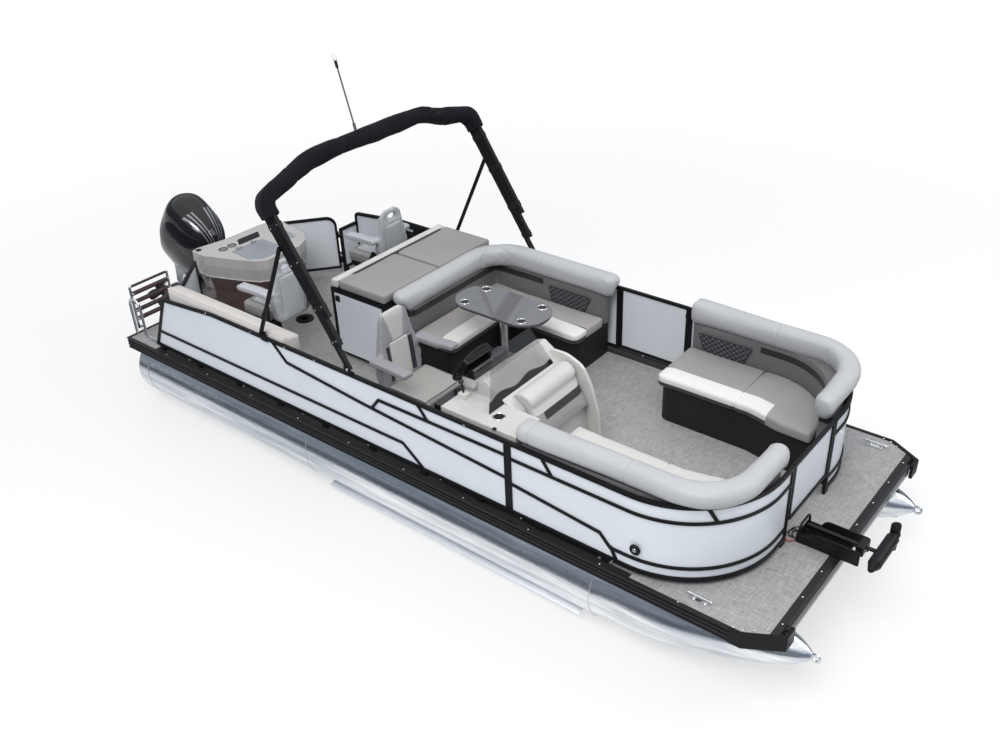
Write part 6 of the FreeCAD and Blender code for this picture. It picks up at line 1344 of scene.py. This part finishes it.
def lean_place(along, y, over):
    """A place beside the arch: so far up its side, and so far across its bows."""
    return at(FOOT_X - along * math.sin(LEAN) + over * math.cos(LEAN), y,
              FOOT_Z + along * math.cos(LEAN) + over * math.sin(LEAN))


clamp_shapes, clamp_spots = [], []
across_bows, up_bows = Vector((math.cos(LEAN), 0, math.sin(LEAN))), Vector((-math.sin(LEAN), 0, math.cos(LEAN)))
for side in SIDES:
    for along, bows in ((0.235, 2), (0.52, 3), (0.90, 3), (1.22, 3)):
        start = lean_place(along, side * 1.2195, 0) + Vector((0, 0.0205, 0))
        clamp_shapes.append(slab(plate(-0.0225, -0.022, BOW_STEP * bows - 0.0255, 0.022, 0.006), 0.041, start,
                                 across_bows, up_bows))
        clamp_spots += [(lean_place(along, side * 1.2400, over), (0, side, 0))
                        for over in (0.0, BOW_STEP * (bows - 1))]
trim("bow_clamps", clamp_shapes, "bimini_arch", black_plastic, 0.002, body="bimini_top")
heads("bow_clamp_screws", clamp_spots, 0.0065, body="bimini_top")
heads("canopy_pins", [(at(FOOT_X, side * 1.248, FOOT_Z), (0, side, 0)) for side in SIDES], 0.013)
trim("cabinet_latch", [upright(plate(1.992, 0.582, 2.042, 0.636, 0.008), 0.012, -0.299)], bevel=0.002,
     body="cabinet_door_body")
trim("inner_panel", [upright(plate(1.37, 0.06, 1.92, 0.664, 0.03), 0.010, 1.206)], bevel=0.002)
trim("inner_panel_slot", [upright(plate(1.47, 0.588, 1.56, 0.614, 0.008), 0.002, 1.197)], "fence_panels", panel_white)
trim("gate_latches", [upright(plate(x - 0.02, z - 0.035, x + 0.02, z + 0.035, 0.008), 0.006, 1.236)
                      for x, z in ((4.10, 0.33), (4.10, 0.56), (4.72, 0.45))], bevel=0.001)
print("clamps", len(clamp_shapes))

# %% [markdown]
# ## Leads of the bow motor
#
# The motor's cable lies in a small coil on the deck, with a black and a red lead beside it. Each
# is a tube along a run of places; the coil's places go round twice and rise and fall a little.

# %% Leads of the bow motor, clipped down beside it
def loop(x, y, wide, lift, turns):
    run = []
    for i in range(24 * turns + 1):
        a = 2 * math.pi * i / 24
        run.append(at(x + wide * math.cos(a) * 0.8 + 0.002 * i / turns, y + wide * math.sin(a),
                      0.012 + lift * (1 + math.sin(a * 0.5 + i)) * 0.5))
    return run


def lead(places, radius):
    return tube([at(*p) for p in places], radius, 8)


trim("motor_leads", [tube(loop(6.43, -0.215, 0.045, 0.010, 2), 0.0045, 8),
                     lead([(6.39, -0.27, 0.012), (6.42, -0.17, 0.030), (6.47, -0.14, 0.040), (6.53, -0.15, 0.034)],
                          0.0045)], "trolling_motor_base", black_rubber)
trim("motor_red_lead", [lead([(6.372, -0.235, 0.010), (6.40, -0.30, 0.024), (6.44, -0.315, 0.018),
                              (6.475, -0.285, 0.012)], 0.0042)],
     "trolling_motor_base", plastic("red_lead", (0.42, 0.012, 0.012), 0.4))
print("leads 3")

# %% [markdown]
# ## Brackets and hinge screws
#
# The back of a fishing chair folds on two flat brackets, one a side, each held by one big screw.
# The gates hang on screws that show on the port side.

# %% Brackets of the fishing chairs, hinge screws of the gates
for chair in ("port", "starboard"):
    (x, y), way, rise = CHAIRS[chair]
    foot = rounded([(x - way * back, z + rise) for back, z in
                    ((0.10, 0.375), (0.235, 0.375), (0.275, 0.56), (0.225, 0.575))], 0.015)
    trim(chair + "_chair_brackets", [upright(foot, 0.010, y + side * 0.262 + 0.005) for side in SIDES],
         chair + "_chair_frame", black_plastic, 0.002, body=chair + "_chair")
    heads(chair + "_chair_screws", [(at(x - way * 0.20, y + side * 0.268, 0.43 + rise), (0, side, 0))
                                    for side in SIDES], 0.014, body=chair + "_chair")
hinge_spots = [(4.078, 1.246, z) for z in (0.12, 0.35, 0.60)] + [(4.738, 1.246, z) for z in (0.12, 0.60)]
heads("gate_screws", [(at(*p), (0, 1, 0)) for p in hinge_spots], 0.009)

# %% [markdown]
# ## Floor and cards
#
# The boat stands on a pale floor that glows a little for the camera, the more the farther away, so
# it runs into the white behind. Polished tubes would mirror nothing but white here, so two dark
# cards lie beside the boat. Only reflections see them: they draw the dark band on the tubes.

# %% Floor and cards
FLOOR_HALF = 40.0
CARD_NEAR, CARD_FAR, CARD_LONG = 2.0, 14.0, 9


def flat_card(name, finish, corners):
    """A flat piece of the stage, one face for every four corners."""
    mesh = bpy.data.meshes.new(name)
    mesh.from_pydata(corners, [], [tuple(range(i, i + 4)) for i in range(0, len(corners), 4)])
    mesh.materials.append(finish.material)
    return link_mesh(name, mesh, False)


def floor_paint():
    m = Finish("floor_paint", Roughness=0.85)
    m.paint(Base_Color=m.blend(m.cloud(0.4, 3.0), grey(0.78), grey(0.82)))
    seen, mirrored = (m.add("LightPath", out=ray) for ray in ("Is Camera Ray", "Is Glossy Ray"))
    far = m.clamped((m.math("SQRT", m.x * m.x + m.y * m.y) - 4.5) / 5.0)
    both = m.add("MixShader", {}, {0: seen * (0.56 + far * 0.44) + mirrored * 0.5, 1: Wire(m, m.shader.outputs[0]),
                                   2: m.add("Emission", {}, {"Color": grey(1.0), "Strength": 1.0})})
    m.tree.links.new(both.socket, m.tree.nodes["Material Output"].inputs[0])
    return m


def card_paint():
    m = Finish("band_paint", Roughness=0.9)
    return m.paint(Base_Color=m.blend(m.cloud(0.8, 4.0, (0.3, 2.0, 1.0)), rgb(0.015, 0.020, 0.028),
                                      rgb(0.10, 0.12, 0.15)))


flat_card("floor", floor_paint(), [(x * FLOOR_HALF, y * FLOOR_HALF, 0)
                                            for x, y in ((-1, -1), (1, -1), (1, 1), (-1, 1))])
band = flat_card("band", card_paint(), [(x * CARD_LONG, side * y, 0.02) for side in SIDES for x, y in (
    (-1, CARD_NEAR), (1, CARD_NEAR), (1, CARD_FAR), (-1, CARD_FAR))])
band.visible_camera = band.visible_diffuse = band.visible_shadow = False
print("floor half", FLOOR_HALF, "cards", 2)

# %% [markdown]
# ## Sky and lamps
#
# The sky is a ramp of colour over the height of a ray: dark low down, blue-grey at the horizon,
# white above. The camera itself sees plain white behind the boat, so a second background is mixed
# in for its rays alone. Two wide lamps give the soft shadows a side.

# %% Sky and lamps
SKY_STRENGTH, LAMP_SIZE, LAMP_AIM = 1.15, 6.0, Vector((0, 0, 0.5))
SKY_STOPS = ((0.0, (0.16, 0.16, 0.17)), (0.47, (0.14, 0.15, 0.17)), (0.72, (0.26, 0.30, 0.36)),
             (0.84, (0.95, 0.97, 1.0)), (1.0, (1.0, 1.0, 1.0)))
LAMPS = (("key", (4.0, -7.0, 11.0), 900), ("fill", (9.0, 6.0, 7.0), 300))


class Sky(Finish):
    """The same shorthand, on the nodes of a world."""

    def __init__(self, world):
        self.tree = world.node_tree


def make_sky():
    world = bpy.data.worlds.new("sky")
    world.use_nodes = True
    w = Sky(world)
    up = w.add("SeparateXYZ", {}, {0: w.add("TexCoord", out="Generated")}, out=2)
    ramp = w.node("ValToRGB", {}, {0: w.add("Math", {"operation": "MULTIPLY_ADD"}, {0: up, 1: 0.5, 2: 0.5})})
    stops = ramp.color_ramp.elements
    while len(stops) < len(SKY_STOPS):
        stops.new(0.5)
    for stop, (place, tone) in zip(stops, SKY_STOPS):
        stop.position = place
        stop.color = rgb(*tone)
    both = w.add("MixShader", {}, {0: w.add("LightPath", out="Is Camera Ray"),
                                   1: w.add("Background", {}, {0: Wire(w, ramp.outputs[0]), 1: SKY_STRENGTH}),
                                   2: w.add("Background", {}, {0: grey(1.0)})})
    w.tree.links.new(both.socket, w.tree.nodes["World Output"].inputs[0])
    bpy.context.scene.world = world


make_sky()
for name, place, watts in LAMPS:
    lamp = bpy.data.lights.new(name, "AREA")
    lamp.size, lamp.energy = LAMP_SIZE, watts
    made = bpy.data.objects.new(name, lamp)
    made.location = place
    made.rotation_euler = (LAMP_AIM - Vector(place)).to_track_quat("-Z", "Y").to_euler()
    bpy.context.scene.collection.objects.link(made)
print("lamps", len(LAMPS))

# %% [markdown]
# ## Camera
#
# The camera was fitted to the photograph: its place, where it looks, a small roll, and the focal
# length in pixels of a picture 1000 wide. A camera looks down its own -Z, so its matrix is built
# from the three directions right, over and back.

# %% Camera
YAW, PITCH, ROLL = (math.radians(a) for a in (129.8315, 31.7771, -2.5259))
CAMERA_AT = at(8.4175, -5.7376, 4.8446)
SENSOR, FOCAL_PX, PICTURE_WIDE = 36.0, 1025.19, 1000
ahead = Vector((math.cos(YAW) * math.cos(PITCH), math.sin(YAW) * math.cos(PITCH), -math.sin(PITCH)))
right = Vector((math.sin(YAW), -math.cos(YAW), 0))
over = right.cross(ahead)
camera = bpy.data.objects.new("camera", bpy.data.cameras.new("camera"))
camera.matrix_world = Matrix((math.cos(ROLL) * right + math.sin(ROLL) * over,
                              -math.sin(ROLL) * right + math.cos(ROLL) * over, -ahead)).transposed().to_4x4()
camera.location = CAMERA_AT
camera.data.sensor_width = SENSOR
camera.data.lens = FOCAL_PX * SENSOR / PICTURE_WIDE
bpy.context.scene.collection.objects.link(camera)
bpy.context.scene.camera = camera
bpy.context.scene.view_settings.view_transform = "Standard"
print("lens", round(camera.data.lens, 2), "mm")
